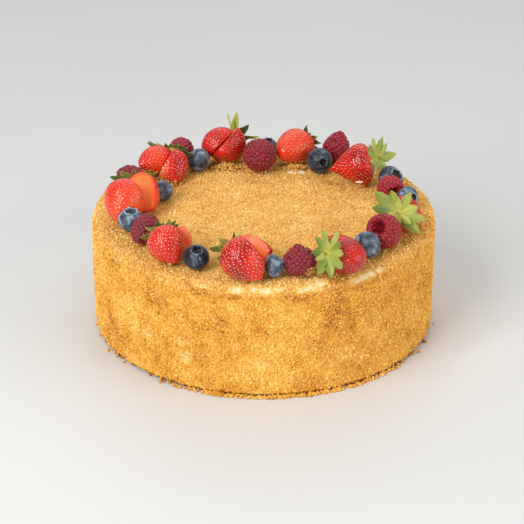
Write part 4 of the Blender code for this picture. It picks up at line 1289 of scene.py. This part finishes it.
# The stage, the camera and the lights
view = {
    "away": 1138.27, "pitch": 26.74, "roll": 0.2257, "aim": (-0.97, 34.24),     # aim: to the right, and up
    "lens": 129.76, "sensor": 36.0,
}
lights = [
    {"name": "window", "at": (-720.0, -900.0, 780.0), "size": (700.0, 700.0), "watts": 14.2, "tint": "#fffdfa"},
    {"name": "ceiling", "at": (150.0, 250.0, 1300.0), "size": (1500.0, 1500.0), "watts": 5.3, "tint": "#ffffff"},
    {"name": "lamp", "at": (-670.0, -370.0, 1160.0), "size": (190.0, 190.0), "watts": 1.9, "tint": "#ffffff"},
    {"name": "bounce", "at": (1000.0, -500.0, 450.0), "size": (900.0, 700.0), "watts": 6.4, "tint": "#fff5ea"},
    {"name": "far wall", "at": (0.0, 1400.0, 1100.0), "size": (1800.0, 700.0), "watts": 6.0, "tint": "#fbfcff"},
]


def makeStage():
    deselectAll()
    bpy.ops.mesh.primitive_plane_add(size=8.0, location=(0.0, 0.0, 0.0))
    floor = named("floor")
    material, tree = newMaterial("paleFloor", Roughness=0.55)
    place = addNode(tree, "ShaderNodeTexCoord").outputs["Object"]
    cloudy = addNode(tree, "ShaderNodeTexNoise", {"Vector": place, "Scale": grain(400.0)})
    shade = addNode(tree, "ShaderNodeValToRGB", {"Fac": cloudy}, stops=[(0.3, "#d1d3d3"), (0.7, "#d6d8d8")])
    floor.data.materials.append(setFinish(material, Base_Color=shade))

    pitch, roll = math.radians(view["pitch"]), math.radians(view["roll"])
    back = Vector((0.0, -math.cos(pitch), math.sin(pitch)))
    level, upright = Vector((1.0, 0.0, 0.0)), Vector((0.0, math.sin(pitch), math.cos(pitch)))
    right = level * math.cos(roll) + upright * math.sin(roll)
    up = upright * math.cos(roll) - level * math.sin(roll)
    eye = back * view["away"] + right * view["aim"][0] + Vector((0.0, 0.0, view["aim"][1]))
    camera = bpy.data.objects.new("camera", bpy.data.cameras.new("camera"))
    bpy.context.scene.collection.objects.link(camera)
    camera.matrix_world = Matrix.Translation(eye * mm) @ Matrix((right, up, back)).transposed().to_4x4()
    camera.data.lens, camera.data.sensor_width = view["lens"], view["sensor"]
    camera.data.clip_start, camera.data.clip_end = 0.05, 20.0
    bpy.context.scene.camera = camera

    for light in lights:
        lamp = bpy.data.objects.new(light["name"], bpy.data.lights.new(light["name"], "AREA"))
        bpy.context.scene.collection.objects.link(lamp)
        lamp.location = Vector(light["at"]) * mm
        lamp.rotation_euler = (-lamp.location).to_track_quat("-Z", "Y").to_euler()
        lamp.data.shape = "RECTANGLE"
        lamp.data.size, lamp.data.size_y = light["size"][0] * mm, light["size"][1] * mm
        lamp.data.energy, lamp.data.color = light["watts"], linear(light["tint"])[:3]
    world = bpy.data.worlds.new("room")
    bpy.context.scene.world = world
    world.use_nodes = True
    world.node_tree.nodes["Background"].inputs["Color"].default_value = linear("#f2f3f1")
    world.node_tree.nodes["Background"].inputs["Strength"].default_value = 0.33
    bpy.context.scene.view_settings.view_transform = "Standard"


makeStage()
print("stage, camera and lights")
ground = makeGround()
finishPiece(ground, "honey_cake_crumb", "cake_body")
print("crumb coat", len(ground.data.polygons))
crumb = crumbMaterial()
for crumbs in scatterCrumbs(ground, crumb):
    finishPiece(crumbs, "honey_cake_crumb")
finishPiece(makeFootCrumbs(crumb), "honey_cake_crumb")
makeLeafCaps(makeStrawberries())
makeRaspberries()
makeBlueberries()
finishPiece(makeClingingCrumbs(crumb, berryPieces), "honey_cake_crumb")
finishPiece(makeCreamDabs(), None)
print("crumbs at the foot and on the berries, and dabs of cream")
